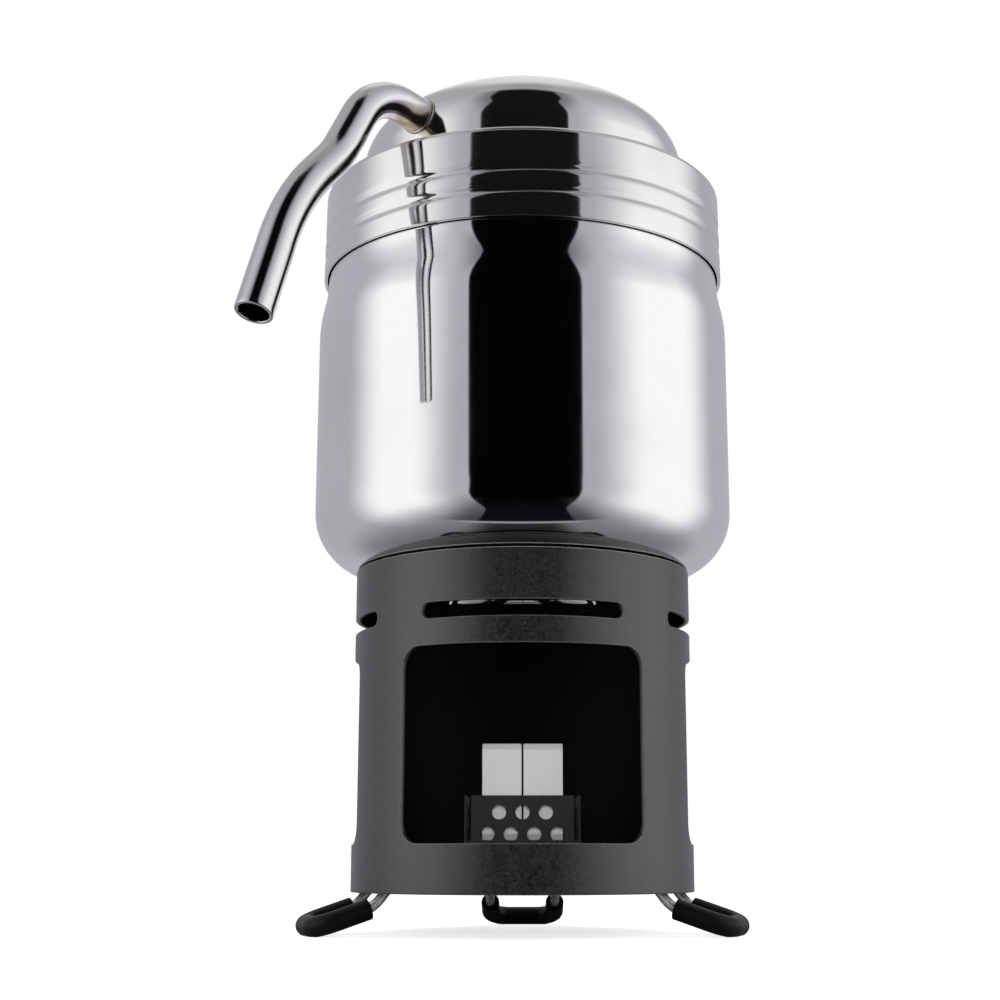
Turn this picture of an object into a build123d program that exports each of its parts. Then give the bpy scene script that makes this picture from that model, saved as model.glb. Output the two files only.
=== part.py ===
"""Camping coffee pot: a pressure brewer on a solid-fuel stand, all sizes in millimetres.

The origin is the middle of the overall box at ground level, +Z up. The fire window faces -Y.
Every piece is drawn about the common axis of stand and pot, and moved to that axis's place when it is saved.
A heading is an angle about that axis, counted from the front (-Y) towards +X.
"""
from build123d import *
import math
import os

# Where the axis of stand and pot stands, which puts the origin in the middle of the overall box
axis_x = 4.0
axis_y = 8.25

# Stand: a rolled and punched tube on three folding legs
stand_radius = 38.2
stand_wall = 1.2
stand_height = 71.3
stand_bottom = 8.9
window_sill = 10.3
window_height = 40.8
window_corner = 4.5
front_half_angle = 41.9
side_half_angle = 19.0
side_window_headings = (-90, 90)
slot_height = 3.4
slot_above_sill = 46.5
slot_half_angle = 33.9
slot_round = 0.49
slot_headings = (-90, 0, 90)
base_thickness = 1.0
base_drop = 0.1
base_skirt = 6.0
base_fit = 0.03

# Legs: bent wire with a rubber sleeve over the foot
leg_headings = {"left": -71, "right": 71, "rear": 180}
wire_radius = 1.1
leg_spacing = 15.7
leg_pivot_inside = 5.5
leg_pivot_height = 2.8
leg_knee_inside = 2.2
leg_tip_outside = 9.8
leg_slope = 18.2
leg_corner = 4.5
pivot_bend = 2.4
knee_bend = 8.0
sleeve_radius = 2.2
sleeve_start = 0.8
sleeve_bore_fit = 0.03
foot_flat = 0.15
bracket_thickness = 0.8
bracket_width = 10.4
bracket_length = 7.0
bracket_lip = 1.2
pivot_fit = 0.08
pin_past_ear = 1.0
rivet_radius = 1.2
rivet_head_radius = 2.1
rivet_head = 0.7
rivet_fit = 0.03

# Fuel tray and tablets
tray_depth = 26.0
tray_height = 10.3
tray_sheet = 0.6
tray_seat_gap = 0.2
tray_corner_gap = 1.5
tray_side_gap = 1.0
tray_hole_radius = 1.55
tray_hole_pitch = 5.1
tray_lower_row = 2.0
tray_row_rise = 4.7
tray_row_holes = (4, 3)
tablet_thickness = 8.7
tablet_depth = 22.0
tablet_height = 21.0
tablet_gap = 0.35
tablet_play = 3.225
tablet_chamfer = 1.4
tablet_seat_gap = 0.1

# Pot
pot_radius = 48.07
pot_wall = 0.8
pot_corner = 14.05
pot_seat_gap = 0.1
sump_radius = 18.0
sump_depth = 8.9
sump_corner = 4.0
sump_blend = 2.0
shoulder_rise = 58.7
shoulder_height = 7.5
shoulder_bend = 28.0
shoulder_step = 1.77
neck_step_rise = 70.2
neck_step = 1.0
neck_step_bend = 0.6
neck_rise = 87.1

# Screw thread between neck and lid
thread_pitch = 5.0
thread_bead = 0.8
neck_thread_turns = 1.25
lid_thread_turns = 2.1
thread_start_below_top = 12.9
thread_gap = 1.6
thread_seam_heading = 200
groove_radius = 0.9
groove_depth = 0.55
bead_inset = 0.1

# Funnel with its riser tube, strainer, filter plate and gasket
funnel_wall = 0.8
funnel_inset = 9.3
funnel_depth = 19.0
funnel_cone = 9.0
funnel_flange_inset = 0.1
riser_radius = 4.5
riser_above_sump = 3.0
strainer_thickness = 0.6
strainer_fit = 0.3
strainer_hole_radius = 0.9
strainer_pitch = 6.4
strainer_rows = 9
gasket_thickness = 2.2
gasket_inset = 0.1
gasket_width = 5.6
filter_fit = 0.2
filter_dish = 3.0
filter_thickness = 0.6

# Lid: collar and dome drawn as one shell, with the spout tube welded in
lid_wall = 0.9
collar_gap = 1.2
collar_taper = 0.3
collar_height = 20.8
collar_corner = 1.2
lid_ledge = 8.6
dome_wall_height = 7.3
dome_corner = 13.0
dome_rise = 28.0
dome_foot_bend = 0.6

# Spout: a bent tube in one upright plane, by reach outside the dome and height above the collar's top
spout_heading = -38.0
spout_radius = 4.0
spout_wall = 0.8
spout_start = (-4.5, 9.8)
spout_corners = ((14.5, 11.0), (25.6, -8.5), (38.5, -22.5))
spout_bends = (15.3, 25.0, 50.0)
spout_end = (47.7, -49.6)
spout_hole_fit = 0.05
weld_radius = 1.0
weld_stand_off = 0.25
weld_round = 1 / 3

# Safety valve in the back of the pot
valve_rise = 42.0
valve_shank_radius = 3.2
valve_shank_length = 6.0
valve_shank_fit = 0.05
valve_hex = 9.0
valve_hex_length = 5.5
valve_face_gap = 0.1
valve_nut_length = 2.5
valve_nut_reach = 5.4
valve_chamber_radius = 2.2
valve_end_wall = 1.0
valve_inlet_radius = 1.0
valve_pin_radius = 1.0
valve_pin_fit = 0.06
valve_pin_head_radius = 1.9
valve_pin_head = 1.0
valve_pin_proud = 1.6
valve_pin_round = 0.5
valve_pin_travel = 1.5
valve_spring_radius = 2.0
valve_spring_wall = 0.6

# Heights and radii that follow from the sizes above
stand_inner = stand_radius - stand_wall
stand_rim = stand_bottom + stand_height
sill_z = stand_bottom + window_sill
slot_bottom = sill_z + slot_above_sill
base_top = sill_z - base_drop
base_under = base_top - base_thickness
pivot_z = stand_bottom + leg_pivot_height
leg_pivot_reach = stand_inner - leg_pivot_inside
leg_knee_reach = stand_radius - leg_knee_inside
leg_tip_reach = stand_radius + leg_tip_outside
tip_z = sleeve_radius - foot_flat
leg_fall = math.tan(math.radians(leg_slope))
knee_z = tip_z + (leg_tip_reach - leg_knee_reach) * leg_fall
half_spacing = leg_spacing / 2
ear_offset = bracket_width / 2
pot_flat_radius = pot_radius - pot_corner
pot_seat_reach = max(0, stand_inner - pot_flat_radius)
pot_seat_rise = pot_corner - math.sqrt(pot_corner**2 - pot_seat_reach**2)
waist_radius = pot_radius - shoulder_step
neck_radius = waist_radius - neck_step
collar_radius_bottom = neck_radius + collar_gap + lid_wall
collar_radius_top = collar_radius_bottom - collar_taper
dome_radius = collar_radius_top - lid_ledge
funnel_radius = neck_radius - funnel_inset
pot_bottom = stand_rim - pot_seat_rise + pot_seat_gap
sump_floor = pot_bottom - sump_depth
neck_top = pot_bottom + neck_rise
flange_top = neck_top + funnel_wall
shoulder_under = flange_top + gasket_thickness
collar_top = shoulder_under + lid_wall
collar_bottom = collar_top - collar_height
collar_bead_radius = collar_radius_bottom - lid_wall - bead_inset
neck_thread_z = neck_top - thread_start_below_top
lid_thread_z = neck_thread_z - thread_gap
cup_floor = flange_top - funnel_depth
riser_bottom = sump_floor + pot_wall + riser_above_sump
tray_width = 2 * (tablet_thickness + tablet_play + tray_sheet) + tablet_gap
tray_front_width = tray_width - 2 * tray_corner_gap
tray_bottom = base_top + tray_seat_gap
tray_floor_top = tray_bottom + tray_sheet
tablet_bottom = tray_floor_top + tablet_seat_gap
dome_wall_top = collar_top + dome_wall_height
dome_top = collar_top + dome_rise
valve_z = pot_bottom + valve_rise
valve_inner_end = valve_face_gap - valve_shank_length
valve_outer_end = valve_face_gap + valve_hex_length
valve_seat = valve_inner_end + valve_end_wall
valve_stem_start = valve_seat + valve_face_gap + valve_pin_head
valve_spring_start = valve_stem_start + valve_pin_travel
valve_spring_end = valve_outer_end - valve_end_wall
gasket_outer = neck_radius - gasket_inset
gasket_inner = gasket_outer - gasket_width


def reach_point(heading, reach, side=0.0, z=0.0):
    """The point at a reach along a heading, moved sideways and up."""
    turn = math.radians(heading)
    x = reach * math.sin(turn) + side * math.cos(turn)
    y = -reach * math.cos(turn) + side * math.sin(turn)
    return (x, y, z)


def level_plane(heading):
    """A level plane whose X runs out along the heading and whose Z is up."""
    return Plane(origin=(0, 0, 0), x_dir=reach_point(heading, 1), z_dir=(0, 0, 1))


def upright_plane(heading):
    """An upright plane through the axis: X runs out along the heading, Y is up."""
    outward = Vector(reach_point(heading, 1))
    return Plane(origin=(0, 0, 0), x_dir=outward, z_dir=outward.cross(Vector(0, 0, 1)))


def leg_wire_points():
    """Corners of one leg's wire in its own frame: reach, side, height."""
    pin_end = ear_offset - bracket_thickness - pin_past_ear
    one_side = [
        (leg_pivot_reach, pin_end, pivot_z),
        (leg_pivot_reach, half_spacing, pivot_z),
        (leg_knee_reach, half_spacing, knee_z),
        (leg_tip_reach, half_spacing, tip_z),
    ]
    return one_side + [(u, -t, z) for u, t, z in reversed(one_side)]


def save(piece, name):
    """Set a finished piece in its place, label it and write it under its own name."""
    piece.part.move(Location((axis_x, axis_y, 0)))
    piece.part.label = name
    export_step(piece.part, f"parts/{name}.step")


def wall_cutter(centre_heading, half_angle, bottom, height, corner):
    """A ring sector with round corners, to punch one opening through the stand's wall."""
    with BuildPart() as cutter:
        with BuildSketch(upright_plane(centre_heading - half_angle)):
            with Locations((stand_radius - stand_wall / 2, bottom + height / 2)):
                Rectangle(3 * stand_wall, height)
        revolve(axis=Axis.Z, revolution_arc=2 * half_angle)
        fillet(cutter.edges().filter_by(GeomType.LINE).group_by(SortBy.LENGTH)[0], radius=corner)
    return cutter.part


def make_stand_shell():
    """The round wall, with a fire window, side windows and heat slots."""
    with BuildPart() as shell:
        with BuildSketch(Plane.XY.offset(stand_bottom)):
            Circle(stand_radius)
            Circle(stand_inner, mode=Mode.SUBTRACT)
        extrude(amount=stand_height)
        windows = [(0, front_half_angle)] + [(side, side_half_angle) for side in side_window_headings]
        for heading, half_angle in windows:
            window = wall_cutter(heading, half_angle, sill_z, window_height, window_corner)
            add(window, mode=Mode.SUBTRACT)
        for heading in slot_headings:
            slot = wall_cutter(heading, slot_half_angle, slot_bottom, slot_height, slot_height * slot_round)
            add(slot, mode=Mode.SUBTRACT)
    save(shell, "stand_shell")


def make_base_plate():
    """A shallow pan pressed into the stand, with a skirt and a hole for each rivet."""
    with BuildPart() as plate:
        with BuildSketch(Plane.XY.offset(base_top - base_skirt)):
            Circle(stand_inner - base_fit)
        extrude(amount=base_skirt)
        fillet(plate.edges().group_by(Axis.Z)[-1], radius=base_thickness)
        with BuildSketch(Plane.XY.offset(base_top - base_skirt)):
            Circle(stand_inner - base_fit - base_thickness)
        extrude(amount=base_skirt - base_thickness, mode=Mode.SUBTRACT)
        for heading in leg_headings.values():
            with BuildSketch(Plane.XY.offset(base_under)):
                with Locations(reach_point(heading, leg_pivot_reach)):
                    Circle(rivet_radius + rivet_fit)
            extrude(amount=base_thickness, mode=Mode.SUBTRACT)
    save(plate, "base_plate")


def make_leg_bracket(side_name, heading):
    """A folded clip under the base plate, whose two ears carry a leg's pins."""
    ear_height = base_under - pivot_z + wire_radius + bracket_lip
    with BuildPart(level_plane(heading)) as bracket:
        with Locations((leg_pivot_reach, 0, base_under - ear_height / 2)):
            Box(bracket_length, bracket_width, ear_height)
        with Locations((leg_pivot_reach, 0, base_under - bracket_thickness - ear_height / 2)):
            Box(bracket_length, bracket_width - 2 * bracket_thickness, ear_height, mode=Mode.SUBTRACT)
        with Locations(Location((leg_pivot_reach, 0, pivot_z), (90, 0, 0))):
            Cylinder(wire_radius + pivot_fit, bracket_width, mode=Mode.SUBTRACT)
        with Locations((leg_pivot_reach, 0, base_under)):
            Cylinder(rivet_radius + rivet_fit, 3 * bracket_thickness, mode=Mode.SUBTRACT)
        lower_corners = bracket.edges().filter_by(
            lambda edge: edge.length < 2 * bracket_thickness and edge.center().Z < pivot_z - wire_radius
        )
        fillet(lower_corners, radius=bracket_lip)
    save(bracket, f"leg_bracket_{side_name}")


def make_rivets():
    """Three rivets through the base plate and the brackets."""
    grip = base_thickness + bracket_thickness
    bottom = base_under - bracket_thickness - rivet_head
    with BuildPart() as rivets:
        for heading in leg_headings.values():
            centre = reach_point(heading, leg_pivot_reach)
            with BuildSketch(Plane.XY.offset(bottom)):
                with Locations(centre):
                    Circle(rivet_radius)
            extrude(amount=grip + 2 * rivet_head)
            for head_bottom in (bottom, base_top):
                with BuildSketch(Plane.XY.offset(head_bottom)):
                    with Locations(centre):
                        Circle(rivet_head_radius)
                extrude(amount=rivet_head)
    save(rivets, "bracket_rivets")


def make_leg_wire(side_name, heading):
    """One bent wire: pin, run, foot, run and pin."""
    with BuildPart() as wire:
        with BuildLine(level_plane(heading)):
            bends = (pivot_bend, knee_bend, leg_corner, leg_corner, knee_bend, pivot_bend)
            route = FilletPolyline(*leg_wire_points(), radius=bends)
        with BuildSketch(Plane(origin=route @ 0, z_dir=route % 0)):
            Circle(wire_radius)
        sweep(path=route)
    save(wire, f"leg_wire_{side_name}")


def make_leg_sleeve(side_name, heading):
    """The rubber sleeve over a leg's foot, with a small flat where it stands."""
    start_reach = leg_knee_reach + sleeve_start
    start_z = tip_z + (leg_tip_reach - start_reach) * leg_fall
    foot = [(start_reach, half_spacing, start_z), (leg_tip_reach, half_spacing, tip_z)]
    points = foot + [(u, -t, z) for u, t, z in reversed(foot)]
    with BuildPart() as sleeve:
        with BuildLine(level_plane(heading)):
            route = FilletPolyline(*points, radius=leg_corner)
        with BuildSketch(Plane(origin=route @ 0, z_dir=route % 0)):
            Circle(sleeve_radius)
            Circle(wire_radius + sleeve_bore_fit, mode=Mode.SUBTRACT)
        sweep(path=route)
        split(bisect_by=Plane.XY, keep=Keep.TOP)
    save(sleeve, f"leg_sleeve_{side_name}")


def make_fuel_tray():
    """A folded box of thin sheet, open at the top, with two rows of air holes."""
    front_y = tray_depth / 2
    side_x = tray_width / 2
    with BuildPart() as tray:
        with Locations((0, 0, tray_bottom + tray_sheet / 2)):
            Box(tray_width, tray_depth, tray_sheet)
        wall_z = tray_bottom + tray_height / 2
        with Locations((side_x - tray_sheet / 2, 0, wall_z), (tray_sheet / 2 - side_x, 0, wall_z)):
            Box(tray_sheet, tray_depth - 2 * tray_side_gap, tray_height)
        with Locations((0, front_y - tray_sheet / 2, wall_z), (0, tray_sheet / 2 - front_y, wall_z)):
            Box(tray_front_width, tray_sheet, tray_height)
        for row, count in enumerate(tray_row_holes):
            row_z = tray_bottom + tray_lower_row + row * tray_row_rise
            with BuildSketch(Plane.XZ):
                with Locations((0, row_z)):
                    with GridLocations(tray_hole_pitch, 1, count, 1):
                        Circle(tray_hole_radius)
            extrude(amount=tray_depth, both=True, mode=Mode.SUBTRACT)
            with BuildSketch(Plane.YZ):
                with Locations((0, row_z)):
                    with GridLocations(tray_hole_pitch, 1, count, 1):
                        Circle(tray_hole_radius)
            extrude(amount=tray_width, both=True, mode=Mode.SUBTRACT)
    save(tray, "fuel_tray")


def make_fuel_tablet(side_name, side):
    """One block of solid fuel, standing in the tray."""
    centre_x = side * (tablet_thickness + tablet_gap) / 2
    with BuildPart() as tablet:
        with Locations((centre_x, 0, tablet_bottom + tablet_height / 2)):
            Box(tablet_thickness, tablet_depth, tablet_height)
        chamfer(tablet.edges().filter_by(Axis.X), length=tablet_chamfer)
    save(tablet, f"fuel_tablet_{side_name}")


def pot_outline(inset):
    """Half of the pot's section, moved inwards by the inset, closed along the axis."""
    corners = [
        (sump_radius - inset, sump_floor + inset),
        (sump_radius - inset, pot_bottom + inset),
        (pot_radius - inset, pot_bottom + inset),
        (pot_radius - inset, pot_bottom + shoulder_rise),
        (waist_radius - inset, pot_bottom + shoulder_rise + shoulder_height),
        (waist_radius - inset, pot_bottom + neck_step_rise),
        (neck_radius - inset, pot_bottom + neck_step_rise + neck_step),
        (neck_radius - inset, neck_top),
    ]
    bends = [
        sump_corner - inset,
        sump_blend + inset,
        pot_corner - inset,
        shoulder_bend - inset,
        shoulder_bend + inset,
        neck_step_bend,
        neck_step_bend,
        0,
    ]
    outline = FilletPolyline((0, sump_floor + inset), *corners, (0, neck_top), radius=bends)
    Line(outline @ 1, outline @ 0)


def thread_bead_path(radius, start_z, turns):
    """A right-hand helix of the lid thread's pitch."""
    return Helix(thread_pitch, thread_pitch * turns, radius, center=(0, 0, start_z))


def valve_plane(offset=0.0):
    """A plane across the safety valve, at an offset outwards from the pot's back."""
    return Plane(origin=(0, pot_radius + offset, valve_z), x_dir=(1, 0, 0), z_dir=(0, 1, 0))


def make_pot_body():
    """The boiler: a drawn cup with a sump in its base and a screw bead on its neck."""
    seam_plane = upright_plane(thread_seam_heading)
    with BuildPart() as pot:
        with BuildSketch(seam_plane):
            with BuildLine():
                pot_outline(0)
            make_face()
        revolve(axis=Axis.Z)
        with BuildLine():
            bead = thread_bead_path(neck_radius, neck_thread_z, neck_thread_turns)
        with BuildSketch(Plane(origin=bead @ 0, z_dir=bead % 0)):
            Circle(thread_bead)
        sweep(path=bead, is_frenet=True)
        with BuildSketch(seam_plane):
            with BuildLine():
                pot_outline(pot_wall)
            make_face()
        revolve(axis=Axis.Z, mode=Mode.SUBTRACT)
        with BuildSketch(valve_plane(-2 * pot_wall)):
            Circle(valve_shank_radius + valve_shank_fit)
        extrude(amount=3 * pot_wall, mode=Mode.SUBTRACT)
    save(pot, "pot_body")


def make_funnel():
    """The coffee cup with its flange, cone and riser tube, as one drawn piece."""
    flange_radius = neck_radius - funnel_flange_inset
    cone_bottom = cup_floor - funnel_cone
    with BuildPart() as funnel:
        with BuildSketch(Plane.XZ):
            with BuildLine():
                Polyline(
                    (riser_radius - funnel_wall, riser_bottom),
                    (riser_radius, riser_bottom),
                    (riser_radius, cone_bottom),
                    (funnel_radius, cup_floor),
                    (funnel_radius, neck_top),
                    (flange_radius, neck_top),
                    (flange_radius, flange_top),
                    (funnel_radius - funnel_wall, flange_top),
                    (funnel_radius - funnel_wall, cup_floor + funnel_wall),
                    (riser_radius - funnel_wall, cone_bottom + funnel_wall),
                    close=True,
                )
            make_face()
        revolve(axis=Axis.Z)
    save(funnel, "coffee_funnel")


def make_strainer():
    """The perforated plate that the coffee lies on."""
    plate_radius = funnel_radius - funnel_wall - strainer_fit
    with BuildPart() as plate:
        with BuildSketch(Plane.XY.offset(cup_floor + funnel_wall)):
            Circle(plate_radius)
            with HexLocations(strainer_pitch / 2, strainer_rows, strainer_rows):
                Circle(strainer_hole_radius, mode=Mode.SUBTRACT)
        extrude(amount=strainer_thickness)
    save(plate, "coffee_strainer")


def make_gasket():
    """The flat rubber ring between the lid's shoulder and the funnel's flange."""
    with BuildPart() as ring:
        with BuildSketch(Plane.XY.offset(flange_top)):
            Circle(gasket_outer)
            Circle(gasket_inner, mode=Mode.SUBTRACT)
        extrude(amount=gasket_thickness)
    save(ring, "lid_gasket")


def make_filter_plate():
    """The perforated plate above the coffee, dished and gripped by the gasket."""
    rim_radius = gasket_inner - filter_fit
    dish_radius = rim_radius - filter_dish
    plate_top = shoulder_under
    with BuildPart() as plate:
        with BuildSketch(Plane.XY.offset(plate_top - filter_thickness)):
            Circle(rim_radius)
        extrude(amount=filter_thickness)
        with BuildSketch(Plane.XY.offset(plate_top - filter_thickness)):
            Circle(dish_radius)
        extrude(amount=filter_thickness, mode=Mode.SUBTRACT)
        with BuildSketch(Plane.XY.offset(plate_top - 2 * filter_thickness)):
            Circle(dish_radius + filter_thickness)
            with HexLocations(strainer_pitch / 2, strainer_rows, strainer_rows):
                Circle(strainer_hole_radius, mode=Mode.SUBTRACT)
        extrude(amount=filter_thickness)
    save(plate, "filter_plate")


def lid_outline(inset):
    """Half of the lid's section, moved inwards by the inset, closed along the axis."""
    corner_in = dome_radius - dome_corner
    rise = dome_rise - dome_wall_height
    cap_radius = (corner_in**2 + rise**2 - dome_corner**2) / (2 * (rise - dome_corner))
    cap_centre = dome_top - cap_radius
    lean = math.atan2(corner_in, dome_wall_top - cap_centre)
    cap = cap_radius - inset
    corner = dome_corner - inset
    joint = (cap * math.sin(lean), cap_centre + cap * math.cos(lean))
    half = (math.pi / 2 + lean) / 2
    corner_middle = (corner_in + corner * math.sin(half), dome_wall_top + corner * math.cos(half))
    cap_middle = (cap * math.sin(lean / 2), cap_centre + cap * math.cos(lean / 2))
    foot = dome_radius - inset
    skirt = FilletPolyline(
        (0, collar_bottom),
        (collar_radius_bottom - inset, collar_bottom),
        (collar_radius_top - inset, collar_top - inset),
        (foot, collar_top - inset),
        (foot, dome_wall_top),
        radius=(0, collar_corner - inset, dome_foot_bend + inset),
    )
    ThreePointArc((foot, dome_wall_top), corner_middle, joint)
    ThreePointArc(joint, cap_middle, (0, dome_top - inset))
    Line((0, dome_top - inset), skirt @ 0)


def make_lid_shell():
    """Collar and dome in one, with the thread's bead inside and its groove outside."""
    groove_path_radius = collar_radius_bottom + groove_radius - groove_depth
    seam_plane = upright_plane(thread_seam_heading)
    with BuildPart() as shell:
        with BuildSketch(seam_plane):
            with BuildLine():
                lid_outline(0)
            make_face()
        revolve(axis=Axis.Z)
        with BuildSketch(seam_plane):
            with BuildLine():
                lid_outline(lid_wall)
            make_face()
        revolve(axis=Axis.Z, mode=Mode.SUBTRACT)
        with BuildLine():
            bead = thread_bead_path(collar_bead_radius, lid_thread_z, lid_thread_turns)
        with BuildSketch(Plane(origin=bead @ 0, z_dir=bead % 0)):
            Circle(thread_bead)
        sweep(path=bead, is_frenet=True)
        with BuildLine():
            groove = thread_bead_path(groove_path_radius, lid_thread_z, lid_thread_turns)
        with BuildSketch(Plane(origin=groove @ 0, z_dir=groove % 0)):
            Circle(groove_radius)
        sweep(path=groove, is_frenet=True, mode=Mode.SUBTRACT)
        with BuildSketch(spout_cut_plane()):
            Circle(spout_radius + spout_hole_fit)
        extrude(amount=dome_corner, mode=Mode.SUBTRACT)
    save(shell, "lid_shell")


def spout_points():
    """The spout's corners in its own upright plane: reach and height."""
    points = (spout_start, *spout_corners, spout_end)
    return [(dome_radius + reach, collar_top + rise) for reach, rise in points]


def spout_cut_plane():
    """The plane across the spout's first run, where it starts inside the dome."""
    plane = upright_plane(spout_heading)
    first, second = spout_points()[:2]
    start = plane.from_local_coords(first)
    along = plane.from_local_coords(second) - start
    return Plane(origin=start, z_dir=along)


def make_spout():
    """The bent tube that carries the coffee out of the dome and down to the cup."""
    with BuildPart() as tube:
        with BuildLine(upright_plane(spout_heading)):
            route = FilletPolyline(*spout_points(), radius=spout_bends)
        with BuildSketch(Plane(origin=route @ 0, z_dir=route % 0)):
            Circle(spout_radius)
            Circle(spout_radius - spout_wall, mode=Mode.SUBTRACT)
        sweep(path=route)
    save(tube, "spout_tube")


def make_spout_weld():
    """The weld bead round the tube where it leaves the dome."""
    plane = spout_cut_plane()
    reach = weld_stand_off - spout_start[0]
    with BuildPart() as weld:
        with BuildSketch(plane.offset(reach)):
            Circle(spout_radius + weld_radius)
            Circle(spout_radius + spout_hole_fit, mode=Mode.SUBTRACT)
        extrude(amount=weld_radius)
        fillet(weld.edges().filter_by(GeomType.CIRCLE).sort_by(Axis.Z)[-1], radius=weld_round)
    save(weld, "spout_weld")


def make_valve_body():
    """The safety valve's hexagon and shank, hollow for its spring and pin."""
    with BuildPart() as body:
        with BuildSketch(valve_plane(valve_inner_end)):
            Circle(valve_shank_radius)
        extrude(amount=valve_shank_length)
        with BuildSketch(valve_plane(valve_face_gap)):
            RegularPolygon(valve_hex / 2, side_count=6, major_radius=False)
        extrude(amount=valve_hex_length)
        with BuildSketch(valve_plane(valve_seat)):
            Circle(valve_chamber_radius)
        extrude(amount=valve_spring_end - valve_seat, mode=Mode.SUBTRACT)
        with BuildSketch(valve_plane(valve_inner_end)):
            Circle(valve_inlet_radius)
        extrude(amount=valve_end_wall, mode=Mode.SUBTRACT)
        with BuildSketch(valve_plane(valve_spring_end)):
            Circle(valve_pin_radius + valve_pin_fit)
        extrude(amount=valve_end_wall, mode=Mode.SUBTRACT)
    save(body, "valve_body")


def make_valve_nut():
    """The nut that draws the valve body against the pot's wall, on the inside."""
    inner_radius = pot_radius - pot_wall
    sag = inner_radius - math.sqrt(inner_radius**2 - valve_nut_reach**2)
    seat = -pot_wall - sag - valve_face_gap
    with BuildPart() as nut:
        with BuildSketch(valve_plane(seat - valve_nut_length)):
            RegularPolygon(valve_hex / 2, side_count=6, major_radius=False)
            Circle(valve_shank_radius + valve_shank_fit, mode=Mode.SUBTRACT)
        extrude(amount=valve_nut_length)
    save(nut, "valve_nut")


def make_valve_pin():
    """The plug that the spring holds on its seat; steam lifts it outwards."""
    with BuildPart() as pin:
        with BuildSketch(valve_plane(valve_seat + valve_face_gap)):
            Circle(valve_pin_head_radius)
        extrude(amount=valve_pin_head)
        with BuildSketch(valve_plane(valve_stem_start)):
            Circle(valve_pin_radius)
        extrude(amount=valve_outer_end + valve_pin_proud - valve_stem_start)
        fillet(pin.edges().filter_by(GeomType.CIRCLE).sort_by(Axis.Y)[-1], radius=valve_pin_round)
    save(pin, "valve_pin")


def make_valve_spring():
    """The hidden spring, as the plain sleeve that its coils fill with the pin lifted."""
    with BuildPart() as spring:
        with BuildSketch(valve_plane(valve_spring_start)):
            Circle(valve_spring_radius)
            Circle(valve_spring_radius - valve_spring_wall, mode=Mode.SUBTRACT)
        extrude(amount=valve_spring_end - valve_spring_start)
    save(spring, "valve_spring")


def build_all():
    """Make every piece and write it to its own file."""
    os.makedirs("parts", exist_ok=True)
    make_stand_shell()
    make_base_plate()
    make_rivets()
    for side_name, heading in leg_headings.items():
        make_leg_bracket(side_name, heading)
        make_leg_wire(side_name, heading)
        make_leg_sleeve(side_name, heading)
    make_fuel_tray()
    make_fuel_tablet("left", -1)
    make_fuel_tablet("right", 1)
    make_pot_body()
    make_funnel()
    make_strainer()
    make_gasket()
    make_filter_plate()
    make_lid_shell()
    make_spout()
    make_spout_weld()
    make_valve_body()
    make_valve_nut()
    make_valve_pin()
    make_valve_spring()


build_all()
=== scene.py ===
"""Camping coffee pot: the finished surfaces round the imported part, with a soft studio and a camera.

The polished metal, the wires, the sleeves and the punched stand are dense meshes worked out with numpy from the
part's own sizes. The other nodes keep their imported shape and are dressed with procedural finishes.
Lengths in the classes are in millimetres about the common axis of stand and pot; meshes are written in metres.
"""

import functools
import logging
import math
from dataclasses import dataclass
from enum import Enum

import bmesh
import bpy
import numpy as np
from mathutils.geometry import delaunay_2d_cdt
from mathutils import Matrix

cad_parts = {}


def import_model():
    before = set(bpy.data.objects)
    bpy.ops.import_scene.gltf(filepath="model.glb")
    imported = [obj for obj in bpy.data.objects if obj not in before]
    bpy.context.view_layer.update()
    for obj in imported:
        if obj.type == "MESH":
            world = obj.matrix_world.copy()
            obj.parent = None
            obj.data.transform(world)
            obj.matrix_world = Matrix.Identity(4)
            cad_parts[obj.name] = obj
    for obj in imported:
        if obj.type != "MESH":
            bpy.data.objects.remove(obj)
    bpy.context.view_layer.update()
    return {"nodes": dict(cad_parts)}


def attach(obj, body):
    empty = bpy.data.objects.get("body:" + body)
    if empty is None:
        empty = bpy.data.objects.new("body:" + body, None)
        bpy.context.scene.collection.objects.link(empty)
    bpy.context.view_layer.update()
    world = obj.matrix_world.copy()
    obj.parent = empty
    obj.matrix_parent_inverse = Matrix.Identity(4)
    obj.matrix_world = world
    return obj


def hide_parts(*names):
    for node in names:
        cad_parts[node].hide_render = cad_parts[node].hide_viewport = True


MM = 0.001
AXIS_X = 4.0
AXIS_Y = 8.25
LOG = logging.getLogger("coffee_pot")

Socket = bpy.types.NodeSocket
Sockets = bpy.types.bpy_prop_collection
Colour = tuple[float, float, float]
Place = tuple[float, float, float]
Edge = tuple[float, float]


class Slot(Enum):
    """The record's material slots."""

    STAND_COAT = "anodised"
    SATIN_STEEL = "stainless"
    POLISHED_STEEL = "polished"
    WIRE = "wire"
    RUBBER = "rubber"
    SEAL = "seal"
    TRAY_COAT = "black_coat"
    FUEL = "fuel"
    BRASS = "valve_brass"


class Body(Enum):
    """The part's bodies that new pieces ride on."""

    STAND = "stand"
    LEG_LEFT = "leg_left"
    LEG_RIGHT = "leg_right"
    LEG_REAR = "leg_rear"
    TRAY = "tray"
    TABLET_LEFT = "tablet_left"
    TABLET_RIGHT = "tablet_right"
    POT = "pot"
    LID = "lid"


# ---------------------------------------------------------------- routes and skins


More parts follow.
